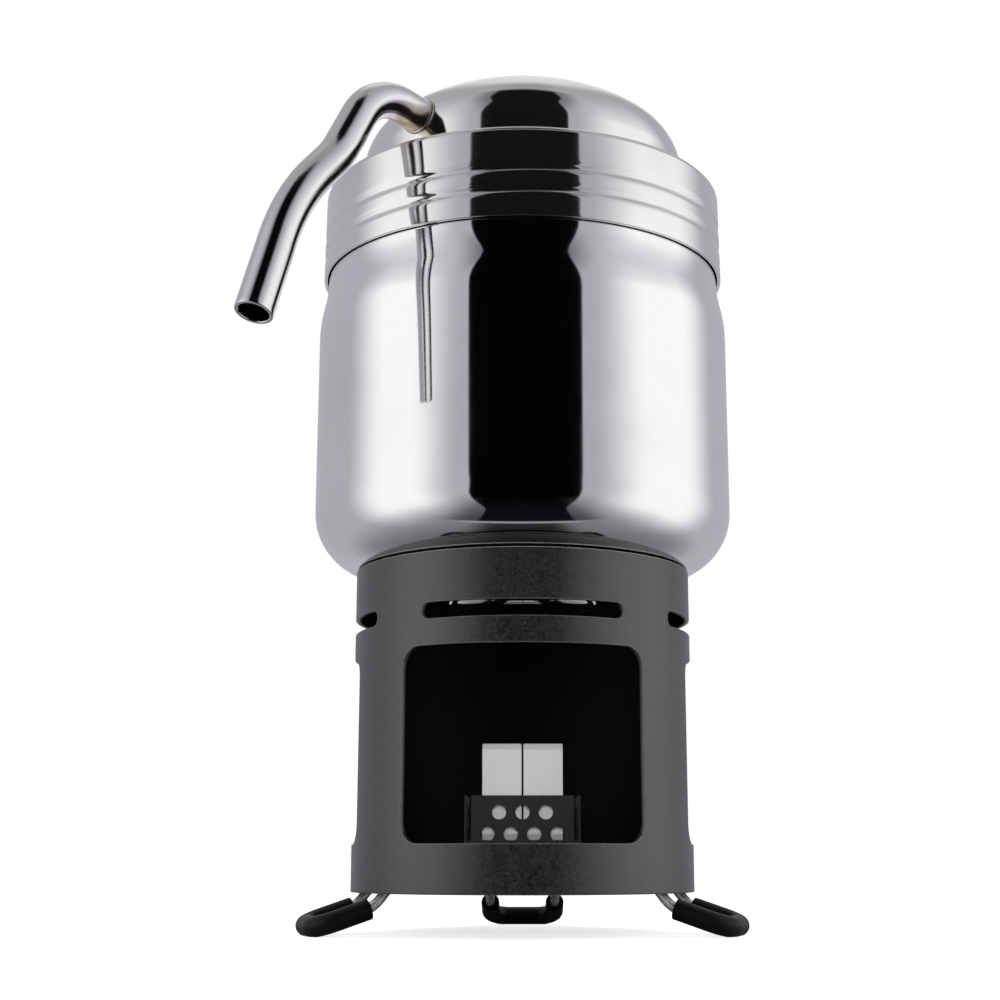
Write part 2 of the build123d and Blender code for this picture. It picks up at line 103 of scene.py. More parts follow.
@dataclass(frozen=True)
class Route:
    """A line through space with its directions and the length run so far."""

    points: np.ndarray
    tangents: np.ndarray
    lengths: np.ndarray

    @property
    def length(self) -> float:
        """The whole length."""
        return float(self.lengths[-1])

    def at(self, stations: np.ndarray) -> tuple[np.ndarray, np.ndarray]:
        """Points and unit directions at given lengths along the route.

        Args:
            stations: lengths from the start; past either end the route goes on straight.

        Returns:
            The points and the unit tangents, one row each.
        """
        columns = [np.interp(stations, self.lengths, self.points[:, k]) for k in range(3)]
        turned = [np.interp(stations, self.lengths, self.tangents[:, k]) for k in range(3)]
        tangents = np.stack(turned, 1)
        tangents /= np.linalg.norm(tangents, axis=1)[:, None]
        past = np.maximum(stations - self.length, 0) + np.minimum(stations, 0)
        return np.stack(columns, 1) + past[:, None] * tangents, tangents

    def stations(self, longest: float) -> np.ndarray:
        """The route's own stations, with more between them so that no step is longer than asked.

        Args:
            longest: the longest step.

        Returns:
            Rising lengths from 0 to the route's length.
        """
        even = np.linspace(0, self.length, max(2, int(math.ceil(self.length / longest)) + 1))
        return np.unique(np.round(np.concatenate([self.lengths, even]), 6))


def rounded_route(corners: np.ndarray, bends: list[float], step: float = 4.0) -> Route:
    """A polyline whose corners are arcs.

    At a corner with unit directions a before and b after it, and turn t between them, the arc of radius r starts
    r tan(t/2) before the corner; its points are start + r (sin(s) a + (1 - cos(s)) c), with c the unit part of b
    across a, for s from 0 to t.

    Args:
        corners: the polyline's points, one row each.
        bends: the arc's radius at each inner corner.
        step: the largest turn between two stations, in degrees.

    Returns:
        The route.
    """
    corners = np.asarray(corners, float)
    runs = np.diff(corners, axis=0)
    directions = runs / np.linalg.norm(runs, axis=1)[:, None]
    points, tangents = [corners[:1]], [directions[:1]]
    for corner, before, after, radius in zip(corners[1:-1], directions[:-1], directions[1:], bends):
        turn = math.acos(float(np.clip(before @ after, -1, 1)))
        across = after - (after @ before) * before
        size = np.linalg.norm(across)
        if radius <= 0 or size < 1e-9:
            points.append(np.array([corner, corner]))
            tangents.append(np.array([before, after]))
            continue
        across = across / size
        sweep = np.linspace(0, turn, max(2, int(math.ceil(math.degrees(turn) / step)) + 1))[:, None]
        start = corner - radius * math.tan(turn / 2) * before
        points.append(start + radius * (np.sin(sweep) * before + (1 - np.cos(sweep)) * across))
        tangents.append(np.cos(sweep) * before + np.sin(sweep) * across)
    points.append(corners[-1:])
    tangents.append(directions[-1:])
    place, heading = np.concatenate(points), np.concatenate(tangents)
    gaps = np.linalg.norm(np.diff(place, axis=0), axis=1)
    kept = np.concatenate([[True], gaps > 1e-7])
    place, heading = place[kept], heading[kept]
    lengths = np.concatenate([[0], np.cumsum(np.linalg.norm(np.diff(place, axis=0), axis=1))])
    return Route(place, heading, lengths)


def arc(centre: tuple[float, float], radius: float, start: float, end: float, count: int) -> np.ndarray:
    """Points (r, z) on an arc of a section: centre + radius (sin(a), cos(a)) for a from start to end.

    Args:
        centre: the arc's centre (r, z).
        radius: its radius.
        start: first angle from the upward direction, in radians.
        end: last angle.
        count: number of points.

    Returns:
        The points, one row each.
    """
    turn = np.linspace(start, end, count)
    return np.stack([centre[0] + radius * np.sin(turn), centre[1] + radius * np.cos(turn)], 1)


def outwards(vertices: np.ndarray, faces: np.ndarray) -> np.ndarray:
    """Quads of a closed skin, turned so that the volume they enclose is positive.

    Args:
        vertices: the skin's vertices.
        faces: its quads; a triangle repeats its last corner.

    Returns:
        The same quads, reversed if they faced inwards.
    """
    a, b, c, d = (vertices[faces[:, k]] for k in range(4))
    volume = (a * np.cross(b, c)).sum() + (a * np.cross(c, d)).sum()
    return faces if volume > 0 else faces[:, ::-1]


def linked(name: str, data: bpy.types.ID) -> bpy.types.Object:
    """A new object with its data, in the scene."""
    made = bpy.data.objects.new(name, data)
    bpy.context.scene.collection.objects.link(made)
    return made


def write_mesh(name: str, vertices: np.ndarray, faces: np.ndarray, uv: np.ndarray | None = None) -> bpy.types.Object:
    """A smooth-shaded object from arrays, placed about the part's axis and scaled to metres.

    Args:
        name: the piece's name.
        vertices: points in millimetres about the axis of stand and pot.
        faces: quads; a triangle repeats one corner.
        uv: one (u, v) for each vertex, or None.

    Returns:
        The new object.
    """
    mesh = bpy.data.meshes.new(name)
    placed = (vertices + np.array([AXIS_X, AXIS_Y, 0.0])) * MM
    triangles = (faces == np.roll(faces, -1, axis=1)).any(axis=1)
    polygons = faces[~triangles].tolist()
    polygons += [list(dict.fromkeys(face)) for face in faces[triangles].tolist()]
    mesh.from_pydata(placed.tolist(), [], polygons)
    if uv is not None:
        layer = mesh.uv_layers.new(name="along")
        corners = np.zeros(len(mesh.loops), np.int32)
        mesh.loops.foreach_get("vertex_index", corners)
        layer.data.foreach_set("uv", uv[corners].astype(np.float32).ravel())
    mesh.shade_smooth()
    mesh.update()
    return linked(name, mesh)


def skin(name: str, rows: np.ndarray, closed: bool, uv: np.ndarray | None = None) -> bpy.types.Object:
    """A piece from rings of points: row i, column j joins row i + 1 and column j + 1, and columns close on themselves.

    Args:
        name: the piece's name.
        rows: points, shape (rows, columns, 3).
        closed: True if the last row joins the first; otherwise both end rows shrink to poles.
        uv: (u, v) for each point, shape (rows, columns, 2), or None.

    Returns:
        The new object.
    """
    count, around = rows.shape[:2]
    index = np.arange(count * around).reshape(count, around)
    vertices = rows.reshape(-1, 3)
    if not closed:
        index[0] = index[0, 0]
        index[-1] = index[-1, 0]
    upper = np.roll(index, -1, axis=0) if closed else index[1:]
    lower = index if closed else index[:-1]
    right_lower, right_upper = np.roll(lower, -1, axis=1), np.roll(upper, -1, axis=1)
    faces = np.stack([lower, right_lower, right_upper, upper], -1).reshape(-1, 4)
    used, renumbered = np.unique(faces, return_inverse=True)
    faces = renumbered.reshape(faces.shape)
    kept_uv = None if uv is None else uv.reshape(-1, 2)[used]
    return write_mesh(name, vertices[used], outwards(vertices[used], faces), kept_uv)


def revolved(section: np.ndarray, around: int) -> np.ndarray:
    """Rings of a section turned about the axis: (r cos(a), r sin(a), z).

    Args:
        section: points (r, z), one row each.
        around: columns in a full turn.

    Returns:
        Points of shape (rows, around, 3).
    """
    turn = np.arange(around) * (2 * math.pi / around)
    radius, height = section[:, :1], section[:, 1:]
    return np.stack([radius * np.cos(turn), radius * np.sin(turn), np.broadcast_to(height, (len(section), around))], -1)


def carried(route: Route, stations: np.ndarray, radii: np.ndarray, reference: np.ndarray, around: int) -> np.ndarray:
    """Rings of given radii carried along a route: point + radius (cos(a) side + sin(a) up).

    The side direction is the reference made square to the tangent, and up is tangent x side.

    Args:
        route: the centre line.
        stations: length along it of each ring.
        radii: radius of each ring.
        reference: a direction that no tangent is parallel to.
        around: columns in a full turn.

    Returns:
        Points of shape (rings, around, 3).
    """
    points, tangents = route.at(stations)
    side = reference - (tangents @ reference)[:, None] * tangents
    side /= np.linalg.norm(side, axis=1)[:, None]
    up = np.cross(tangents, side)
    turn = (np.arange(around) * (2 * math.pi / around))[None, :, None]
    return points[:, None] + radii[:, None, None] * (np.cos(turn) * side[:, None] + np.sin(turn) * up[:, None])


def tube_rings(
    length: float, outer: float, inner: float, lip: float, inside: np.ndarray
) -> tuple[np.ndarray, np.ndarray]:
    """Stations and radii that run along a tube's outside, over its lip, back along its inside and over the other lip.

    Args:
        length: the tube's length.
        outer: outer radius.
        inner: bore radius; 0 makes a solid rod with closed ends.
        lip: radius of the rounded rims.
        inside: stations between the two ends.

    Returns:
        The stations and the radii, one of each for each ring.
    """
    middle = inside[(inside > lip * 1.01) & (inside < length - lip * 1.01)]
    turn = np.linspace(math.pi / 2, 0, 5)
    start, rim = lip * (1 - np.sin(turn)), outer - lip * (1 - np.cos(turn))
    stations = np.concatenate([start, middle, length - start[::-1]])
    radii = np.concatenate([rim, np.full(len(middle), outer), rim[::-1]])
    if inner <= 0:
        return np.concatenate([[0.0], stations, [length]]), np.concatenate([[0.0], radii, [0.0]])
    bore = inner + outer - radii
    return np.concatenate([stations, stations[::-1]]), np.concatenate([radii, bore[::-1]])


def tube(
    name: str, route: Route, radii: tuple[float, float, float], step: float, reference: np.ndarray, around: int
) -> bpy.types.Object:
    """A tube or rod carried along a route, flattened where it stands: no point lies below the ground.

    Args:
        name: the piece's name.
        route: the centre line.
        radii: outer radius, bore radius, which is 0 for a rod, and radius of the rounded rims.
        step: longest step between two rings.
        reference: a direction that no tangent is parallel to, where the UV map's seam lies.
        around: columns in a full turn.

    Returns:
        The new object, whose UV map runs along and round it.
    """
    stations, rings = tube_rings(route.length, *radii, route.stations(step))
    rows = carried(route, stations, rings, reference, around)
    rows[..., 2] = np.maximum(rows[..., 2], 0.0)
    uv = np.stack(np.broadcast_arrays((stations / route.length)[:, None], np.arange(around) / around), -1)
    return skin(name, rows, closed=radii[1] > 0, uv=uv)


# ---------------------------------------------------------------- node trees and shared groups


class Tree:
    """Short calls for building a node tree."""

    def __init__(self, tree: bpy.types.NodeTree) -> None:
        """Keeps the tree."""
        self.tree = tree

    def node(self, kind: str, **settings: object) -> bpy.types.Node:
        """Adds a node and sets its properties."""
        made = self.tree.nodes.new(kind)
        for key, value in settings.items():
            setattr(made, key, value)
        return made

    def feed(self, socket: Socket, value: object) -> None:
        """Links a socket to another one, or sets its value; a colour of three numbers is made opaque."""
        if isinstance(value, Socket):
            self.tree.links.new(value, socket)
        elif socket.type == "RGBA" and len(value) == 3:
            socket.default_value = (*value, 1.0)
        else:
            socket.default_value = value

    def use(self, kind: str, inputs: dict[str | int, object], output: str | int = 0, **settings: object) -> Socket:
        """Adds a node, feeds its inputs and gives one of its outputs.

        Args:
            kind: the node's type.
            inputs: values or sockets by the input's name or place.
            output: the output's name or place.
            settings: the node's properties.

        Returns:
            The output.
        """
        made = self.node(kind, **settings)
        for key, value in inputs.items():
            self.feed(made.inputs[key], value)
        return made.outputs[output]

    def math(self, operation: str, first: object, second: object = 0.0, third: object = 0.0) -> Socket:
        """A Math node's output for sockets or numbers."""
        return self.use("ShaderNodeMath", {0: first, 1: second, 2: third}, operation=operation)

    def product(self, first: object, *others: object) -> Socket:
        """Sockets or numbers multiplied in turn."""
        for other in others:
            first = self.math("MULTIPLY", first, other)
        return first

    def smooth(self, value: object, low: float, high: float) -> Socket:
        """0 at low and 1 at high, with a smooth step between them, whichever of the two is the larger.

        Args:
            value: the number or socket.
            low: where the result is 0, and beyond.
            high: where the result is 1, and beyond.

        Returns:
            A value from 0 to 1.
        """
        inputs = {"Value": value, "From Min": min(low, high), "From Max": max(low, high)}
        inputs.update({"To Min": float(high < low), "To Max": float(high >= low)})
        return self.use("ShaderNodeMapRange", inputs, "Result", interpolation_type="SMOOTHSTEP")

    def masked(self, *edges: tuple[object, Edge]) -> Socket:
        """The product of soft edges, each given as a value and the edge's two ends."""
        return self.product(*(self.smooth(value, *edge) for value, edge in edges))

    def spread(self, value: object, low: float, high: float) -> Socket:
        """A value from 0 to 1 spread between two levels."""
        return self.use("ShaderNodeMapRange", {"Value": value, "To Min": low, "To Max": high}, "Result")

    def mix(self, share: object, first: object, second: object) -> Socket:
        """A colour mixed from two sockets or colours."""
        return self.use("ShaderNodeMix", {"Factor": share, "A": first, "B": second}, "Result", data_type="RGBA")

    def noise(self, vector: object, scale: object, detail: object = 3.0, rough: float = 0.55) -> Socket:
        """A noise texture's value at a vector socket."""
        inputs = {"Vector": vector, "Scale": scale, "Detail": detail, "Roughness": rough}
        return self.use("ShaderNodeTexNoise", inputs, "Fac")

    def bump(self, height: object, distance: float, strength: float = 1.0) -> Socket:
        """A Bump node's normal for a height socket."""
        return self.use("ShaderNodeBump", {"Height": height, "Distance": distance, "Strength": strength}, "Normal")

    def split(self, vector: object) -> list[Socket]:
        """The three parts of a vector."""
        made = self.node("ShaderNodeSeparateXYZ")
        self.feed(made.inputs[0], vector)
        return list(made.outputs)

    def about_axis(self, place: object) -> Socket:
        """Object coordinates counted from the common axis of stand and pot."""
        axis = (AXIS_X * MM, AXIS_Y * MM, 0.0)
        return self.use("ShaderNodeVectorMath", {0: place, 1: axis}, operation="SUBTRACT")


class Effect(Enum):
    """The shader node groups that several finishes share."""

    GRAIN = "grain"
    TURNING_LINES = "turning_lines"
    DRAWN_LINES = "drawn_lines"
    HANDLING = "handling"


def grain(tree: Tree, entry: Sockets) -> dict[str, Socket]:
    """Fine speckle: sharp cells over soft noise, for coats, rubber and pressed powder.

    Args:
        tree: the group's tree.
        entry: its inputs Vector, Size and Contrast.

    Returns:
        Its outputs Tone, about 0.5, and Height.
    """
    soft = tree.noise(entry["Vector"], entry["Size"], 3.0, 0.75)
    places = {"Vector": entry["Vector"], "Scale": entry["Size"]}
    cells = tree.use("ShaderNodeTexVoronoi", places, "Distance", feature="F1")
    height = tree.math("MULTIPLY_ADD", cells, 0.12, soft)
    tone = tree.math("MULTIPLY_ADD", tree.math("SUBTRACT", height, 0.55), entry["Contrast"], 0.5)
    return {"Tone": tone, "Height": height}


def turning_lines(tree: Tree, entry: Sockets) -> dict[str, Socket]:
    """Fine rings round the part's upright axis, as a lathe or a polishing belt leaves them.

    Args:
        tree: the group's tree.
        entry: its inputs Vector and Pitch.

    Returns:
        Its output Lines, from 0 to 1.
    """
    x, y, z = tree.split(tree.about_axis(entry["Vector"]))
    radius = tree.math("SQRT", tree.math("ADD", tree.product(x, x), tree.product(y, y)))
    round_axis = tree.math("SINE", tree.math("ARCTAN2", y, x))
    place = {0: tree.product(radius, entry["Pitch"]), 1: tree.product(z, entry["Pitch"]), 2: round_axis}
    return {"Lines": tree.noise(tree.use("ShaderNodeCombineXYZ", place), 1.0, 5.0, 0.65)}


def drawn_lines(tree: Tree, entry: Sockets) -> dict[str, Socket]:
    """Long lines along a tube or wire, whose UV map runs along and round it.

    Args:
        tree: the group's tree.
        entry: its inputs Vector, Along, Round and Detail; Along and Round say how dense the pattern is.

    Returns:
        Its output Lines, from 0 to 1.
    """
    density = tree.use("ShaderNodeCombineXYZ", {0: entry["Along"], 1: entry["Round"], 2: 1.0})
    place = tree.use("ShaderNodeVectorMath", {0: entry["Vector"], 1: density}, operation="MULTIPLY")
    return {"Lines": tree.noise(place, 1.0, entry["Detail"])}


def handling(tree: Tree, entry: Sockets) -> dict[str, Socket]:
    """Broad, faint patches, as wiping and handling leave them.

    Args:
        tree: the group's tree.
        entry: its inputs Vector and Size.

    Returns:
        Its output Mask, from 0 to 1.
    """
    inputs = {"Vector": entry["Vector"], "Scale": entry["Size"], "Detail": 5.0, "Distortion": 0.6}
    return {"Mask": tree.smooth(tree.use("ShaderNodeTexNoise", inputs, "Fac"), 0.42, 0.7)}


EFFECTS = {
    Effect.GRAIN: (grain, {"Vector": None, "Size": 2500.0, "Contrast": 1.0}),
    Effect.TURNING_LINES: (turning_lines, {"Vector": None, "Pitch": 900.0}),
    Effect.DRAWN_LINES: (drawn_lines, {"Vector": None, "Along": 10.0, "Round": 90.0, "Detail": 4.0}),
    Effect.HANDLING: (handling, {"Vector": None, "Size": 30.0}),
}


@functools.cache
def group_of(effect: Effect) -> bpy.types.NodeTree:
    """An effect's node group, made when it is first asked for.

    Args:
        effect: which effect.

    Returns:
        The group.
    """
    make, inputs = EFFECTS[effect]
    group = bpy.data.node_groups.new(effect.value, "ShaderNodeTree")
    for name, default in inputs.items():
        kind = "NodeSocketVector" if default is None else "NodeSocketFloat"
        socket = group.interface.new_socket(name=name, in_out="INPUT", socket_type=kind)
        if default is not None:
            socket.default_value = default
    tree = Tree(group)
    results = make(tree, tree.node("NodeGroupInput").outputs)
    for name in results:
        group.interface.new_socket(name=name, in_out="OUTPUT", socket_type="NodeSocketFloat")
    leave = tree.node("NodeGroupOutput").inputs
    for name, value in results.items():
        tree.feed(leave[name], value)
    return group


class Surface(Tree):
    """A material's tree, with a Principled shader and the Object coordinates."""

    def __init__(self, name: str) -> None:
        """Makes the material."""
        self.material = bpy.data.materials.new(name)
        self.material.use_nodes = True
        super().__init__(self.material.node_tree)
        self.tree.nodes.clear()
        self.shader = self.node("ShaderNodeBsdfPrincipled")
        self.feed(self.node("ShaderNodeOutputMaterial").inputs["Surface"], self.shader.outputs["BSDF"])
        self.place = self.node("ShaderNodeTexCoord").outputs["Object"]

    def put(self, name: str, value: object) -> None:
        """Feeds one of the shader's inputs."""
        self.feed(self.shader.inputs[name], value)

    def along(self) -> Socket:
        """The piece's UV map, which runs along and round it."""
        return self.node("ShaderNodeUVMap", uv_map="along").outputs["UV"]

    def effect(self, effect: Effect, **values: object) -> Sockets:
        """Places a shared group, at the Object coordinates unless another Vector is given.

        Args:
            effect: which group.
            values: the group's inputs.

        Returns:
            The group's outputs, by name.
        """
        node = self.node("ShaderNodeGroup", node_tree=group_of(effect))
        for key, value in {"Vector": self.place, **values}.items():
            self.feed(node.inputs[key], value)
        return node.outputs


# ---------------------------------------------------------------- finishes


def tinted(colour: Colour, share: float) -> Colour:
    """A colour made darker or paler."""
    return tuple(share * part for part in colour)


@dataclass(frozen=True)
class PolishedSteel:
    """Mirror-polished metal: faint rings round the axis, and patches that are darker and hazier where it is wiped."""

    name: str = "mirror_steel"
    tone: Colour = (0.86, 0.85, 0.86)
    roughness: float = 0.035
    ring_roughness: float = 0.03
    ring_pitch: float = 2600.0
    ring_depth: float = 0.0000006
    patch_size: float = 34.0
    patch_tone: float = 0.94
    patch_haze: float = 0.02
    metal: float = 1.0

    def build(self) -> bpy.types.Material:
        """Makes the material."""
        surface = Surface(self.name)
        rings = surface.effect(Effect.TURNING_LINES, Pitch=self.ring_pitch)["Lines"]
        wiped = surface.effect(Effect.HANDLING, Size=self.patch_size)["Mask"]
        surface.put("Base Color", surface.mix(wiped, self.tone, tinted(self.tone, self.patch_tone)))
        ringed = surface.spread(rings, self.roughness, self.roughness + self.ring_roughness)
        surface.put("Roughness", surface.math("MULTIPLY_ADD", wiped, self.patch_haze, ringed))
        surface.put("Normal", surface.bump(rings, self.ring_depth))
        surface.put("Metallic", self.metal)
        return surface.material


@dataclass(frozen=True)
class SatinSteel(PolishedSteel):
    """Plain drawn, pressed or turned metal, whose rings are coarser and deeper."""

    name: str = "satin_steel"
    tone: Colour = (0.62, 0.61, 0.60)
    roughness: float = 0.20
    ring_roughness: float = 0.22
    ring_pitch: float = 3200.0
    ring_depth: float = 0.000006
    patch_size: float = 60.0
    patch_tone: float = 0.8
    patch_haze: float = 0.0


@dataclass(frozen=True)
class SpoutSteel:
    """Polished tube with drawn lines, and heat colours on its underside near the weld.

    A heat colour is given with its place along the tube, as a share of the tube's length.
    """

    name: str = "spout_steel"
    tone: Colour = (0.76, 0.75, 0.755)
    heat: tuple[tuple[float, Colour], ...] = (
        (0.0, (0.60, 0.50, 0.36)),
        (0.045, (0.62, 0.53, 0.40)),
        (0.11, (0.78, 0.66, 0.44)),
        (0.155, (0.80, 0.60, 0.60)),
        (0.20, (0.70, 0.66, 0.78)),
    )
    heat_end: float = 0.25
    wander: float = 0.03
    underside: Edge = (-0.05, -0.7)
    roughness: Edge = (0.08, 0.20)
    line_depth: float = 0.000002

    def build(self) -> bpy.types.Material:
        """Makes the material."""
        surface = Surface(self.name)
        along = surface.along()
        run, turn, _ = surface.split(along)
        shift = surface.product(surface.math("SUBTRACT", surface.noise(surface.place, 160.0), 0.5), self.wander)
        ramp = surface.node("ShaderNodeValToRGB")
        for k, (position, colour) in enumerate((*self.heat, (self.heat_end, self.tone))):
            stop = ramp.color_ramp.elements[k] if k < 2 else ramp.color_ramp.elements.new(position)
            stop.position = position
            stop.color = (*colour, 1.0)
        surface.feed(ramp.inputs["Fac"], surface.math("ADD", run, shift))
        under = surface.smooth(surface.math("SINE", surface.product(turn, 2 * math.pi)), *self.underside)
        surface.put("Base Color", surface.mix(under, self.tone, ramp.outputs["Color"]))
        lines = surface.effect(Effect.DRAWN_LINES, Vector=along, Along=6.0, Round=420.0, Detail=4.0)["Lines"]
        surface.put("Roughness", surface.spread(lines, *self.roughness))
        surface.put("Normal", surface.bump(lines, self.line_depth))
        surface.put("Metallic", 1.0)
        return surface.material


@dataclass(frozen=True)
class BrightWire:
    """Drawn bright steel wire, with lines along its length."""

    name: str = "bright_wire"
    tone: Colour = (0.86, 0.85, 0.84)
    patch_tone: float = 0.72
    roughness: Edge = (0.16, 0.3)
    line_depth: float = 0.000004
    metal: float = 0.74

    def build(self) -> bpy.types.Material:
        """Makes the material."""
        surface = Surface(self.name)
        lines = surface.effect(Effect.DRAWN_LINES, Vector=surface.along(), Along=10.0, Round=90.0, Detail=4.0)["Lines"]
        wiped = surface.effect(Effect.HANDLING, Size=180.0)["Mask"]
        surface.put("Base Color", surface.mix(wiped, self.tone, tinted(self.tone, self.patch_tone)))
        surface.put("Roughness", surface.spread(lines, *self.roughness))
        surface.put("Normal", surface.bump(lines, self.line_depth))
        surface.put("Metallic", self.metal)
        return surface.material


@dataclass(frozen=True)
class StandCoat:
    """Dark grey coat with a fine speckle and a soft sheen, worn thin at punched edges, with a painted highlight on the
    rim that carries the pot and painted shade on the wall's inside.
    """

    name: str = "speckled_coat"
    tone: Colour = (0.003, 0.003, 0.0036)
    light: Colour = (0.021, 0.0193, 0.0188)
    # Colour at worn punched edges, also used for the painted highlight on the rim that carries the pot.
    wear_and_highlight_tone: Colour = (0.30, 0.29, 0.28)
    # Painted shade on the wall's inside.
    painted_inner_shade_tone: Colour = (0.0015, 0.0014, 0.0014)
    speckle: Edge = (0.25, 0.85)
    roughness: float = 0.31
    sheen: float = 1.85
    grain_size: float = 1900.0
    grain_depth: float = 0.000032
    contrast: float = 2.2
    patch_share: float = 0.22
    patch_tone: float = 1.12
    inner_radius: float = 37.0
    plate_height: float = 12.0

    def build(self) -> bpy.types.Material:
        """Makes the material."""
        surface = Surface(self.name)
        grains = surface.effect(Effect.GRAIN, Size=self.grain_size, Contrast=self.contrast)
        wiped = surface.effect(Effect.HANDLING, Size=45.0)["Mask"]
        speckled = surface.mix(surface.smooth(grains["Tone"], *self.speckle), self.tone, self.light)
        patches = surface.product(wiped, self.patch_share)
        handled = surface.mix(patches, speckled, tinted(self.light, self.patch_tone))
        # Edge marks: bare metal where the coat is worn at the openings, and a painted highlight on the rim.
        edge = surface.node("ShaderNodeAttribute", attribute_name="worn_and_highlit_edge").outputs["Fac"]
        worn_and_highlit = surface.product(edge, surface.spread(grains["Tone"], *self.speckle))
        # Painted shade inside the wall above the base plate: darker, rougher and with less sheen.
        painted_inner_shade = self.painted_inner_shade(surface)
        surface.put("Base Color", surface.mix(painted_inner_shade, surface.mix(worn_and_highlit, handled, self.wear_and_highlight_tone), self.painted_inner_shade_tone))
        rough = surface.spread(grains["Tone"], self.roughness - 0.05, self.roughness + 0.1)
        surface.put("Roughness", surface.math("MULTIPLY_ADD", painted_inner_shade, 0.25, rough))
        surface.put("Specular IOR Level", surface.spread(painted_inner_shade, 0.5, 0.1))
        surface.put("Normal", surface.bump(grains["Height"], self.grain_depth, 0.6))
        surface.put("IOR", self.sheen)
        return surface.material

    def painted_inner_shade(self, surface: Surface) -> Socket:
        """Where the painted shade lies: inside the wall's inner face and above the base plate.

        Args:
            surface: the material's tree.

        Returns:
            A mask from 0 to 1.
        """
        x, y, z = surface.split(surface.about_axis(surface.place))
        radius = surface.math("SQRT", surface.math("MULTIPLY_ADD", x, x, surface.product(y, y)))
        wall = ((self.inner_radius + 0.6) * MM, (self.inner_radius + 0.1) * MM)
        plate = ((self.plate_height - 1.0) * MM, (self.plate_height + 1.0) * MM)
        return surface.masked((radius, wall), (z, plate))


@dataclass(frozen=True)
class SleeveRubber:
    """Black satin rubber with faint lines along the tube."""

    name: str = "sleeve_rubber"
    tone: Colour = (0.002, 0.002, 0.0024)
    grain_tone: float = 1.9
    grain_size: float = 3800.0
    roughness: Edge = (0.34, 0.52)
    shine: float = 0.24

    def build(self) -> bpy.types.Material:
        """Makes the material."""
        surface = Surface(self.name)
        lines = surface.effect(Effect.DRAWN_LINES, Vector=surface.along(), Along=3.0, Round=60.0, Detail=3.0)["Lines"]
        grains = surface.effect(Effect.GRAIN, Size=self.grain_size, Contrast=1.5)
        surface.put("Base Color", surface.mix(grains["Tone"], self.tone, tinted(self.tone, self.grain_tone)))
        surface.put("Roughness", surface.spread(grains["Tone"], *self.roughness))
        height = surface.math("MULTIPLY_ADD", lines, 0.5, grains["Height"])
        surface.put("Normal", surface.bump(height, 0.00001, 0.5))
        surface.put("Specular IOR Level", self.shine)
        return surface.material


@dataclass(frozen=True)
class PlainGrain:
    """A matt surface with an even grain, for the seal, the tray's coat and the fuel blocks."""

    name: str
    tone: Colour
    light: Colour
    roughness: float
    grain_size: float
    grain_depth: float
    patch_size: float = 70.0
    patch_share: float = 0.35
    contrast: float = 1.8

    def build(self) -> bpy.types.Material:
        """Makes the material."""
        surface = Surface(self.name)
        grains = surface.effect(Effect.GRAIN, Size=self.grain_size, Contrast=self.contrast)
        wiped = surface.effect(Effect.HANDLING, Size=self.patch_size)["Mask"]
        mixed = surface.mix(grains["Tone"], self.tone, self.light)
        surface.put("Base Color", surface.mix(surface.product(wiped, self.patch_share), mixed, self.light))
        surface.put("Roughness", surface.spread(grains["Tone"], self.roughness - 0.06, self.roughness + 0.08))
        surface.put("Normal", surface.bump(grains["Height"], self.grain_depth, 0.7))
        return surface.material


# ---------------------------------------------------------------- sub-assemblies


def heading_vector(heading: float) -> np.ndarray:
    """The level unit direction of a heading, counted in degrees from the front (-Y) towards +X."""
    turn = math.radians(heading)
    return np.array([math.sin(turn), -math.cos(turn), 0.0])


def across_vector(heading: float) -> np.ndarray:
    """The level unit direction square to a heading, to its left when looking outwards."""
    turn = math.radians(heading)
    return np.array([math.cos(turn), math.sin(turn), 0.0])


def dress(piece: bpy.types.Object, material: bpy.types.Material) -> None:
    """Gives a piece one material, in place of any that it came with."""
    piece.data.materials.clear()
    piece.data.materials.append(material)


def fit_out(piece: bpy.types.Object, material: bpy.types.Material, slot: Slot, body: Body, *nodes: str) -> None:
    """Dresses a new piece, puts it on its body and hides the part's nodes that it stands for.

    Args:
        piece: the new piece.
        material: its finish.
        slot: the record's slot of that finish; not used.
        body: the body that it rides on.
        nodes: the part's nodes that it replaces.
    """
    dress(piece, material)
    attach(piece, body.value)
    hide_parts(*nodes)
    LOG.info("%s: %d faces on %s", piece.name, len(piece.data.polygons), body.value)


def resampled(section: np.ndarray, longest: float) -> np.ndarray:
    """A section with points added so that no step is longer than asked, keeping all of its own.

    Args:
        section: points (r, z).
        longest: the longest step.

    Returns:
        The finer section.
    """
    gaps = np.linalg.norm(np.diff(section, axis=0), axis=1)
    lengths = np.concatenate([[0], np.cumsum(gaps)])
    pieces = np.maximum(1, np.ceil(gaps / longest)).astype(int)
    starts = np.repeat(lengths[:-1], pieces)
    order = np.arange(pieces.sum()) - np.repeat(np.cumsum(pieces) - pieces, pieces)
    stations = np.concatenate([starts + order * np.repeat(gaps / pieces, pieces), lengths[-1:]])
    return np.stack([np.interp(stations, lengths, section[:, k]) for k in range(2)], 1)


def section_of(corners: list[tuple[float, float]], bends: list[float], step: float = 5.0) -> np.ndarray:
    """A rounded section (r, z) through corners (r, z), by the arcs of rounded_route."""
    flat = np.array([(r, 0.0, z) for r, z in corners])
    return rounded_route(flat, bends, step).points[:, [0, 2]]


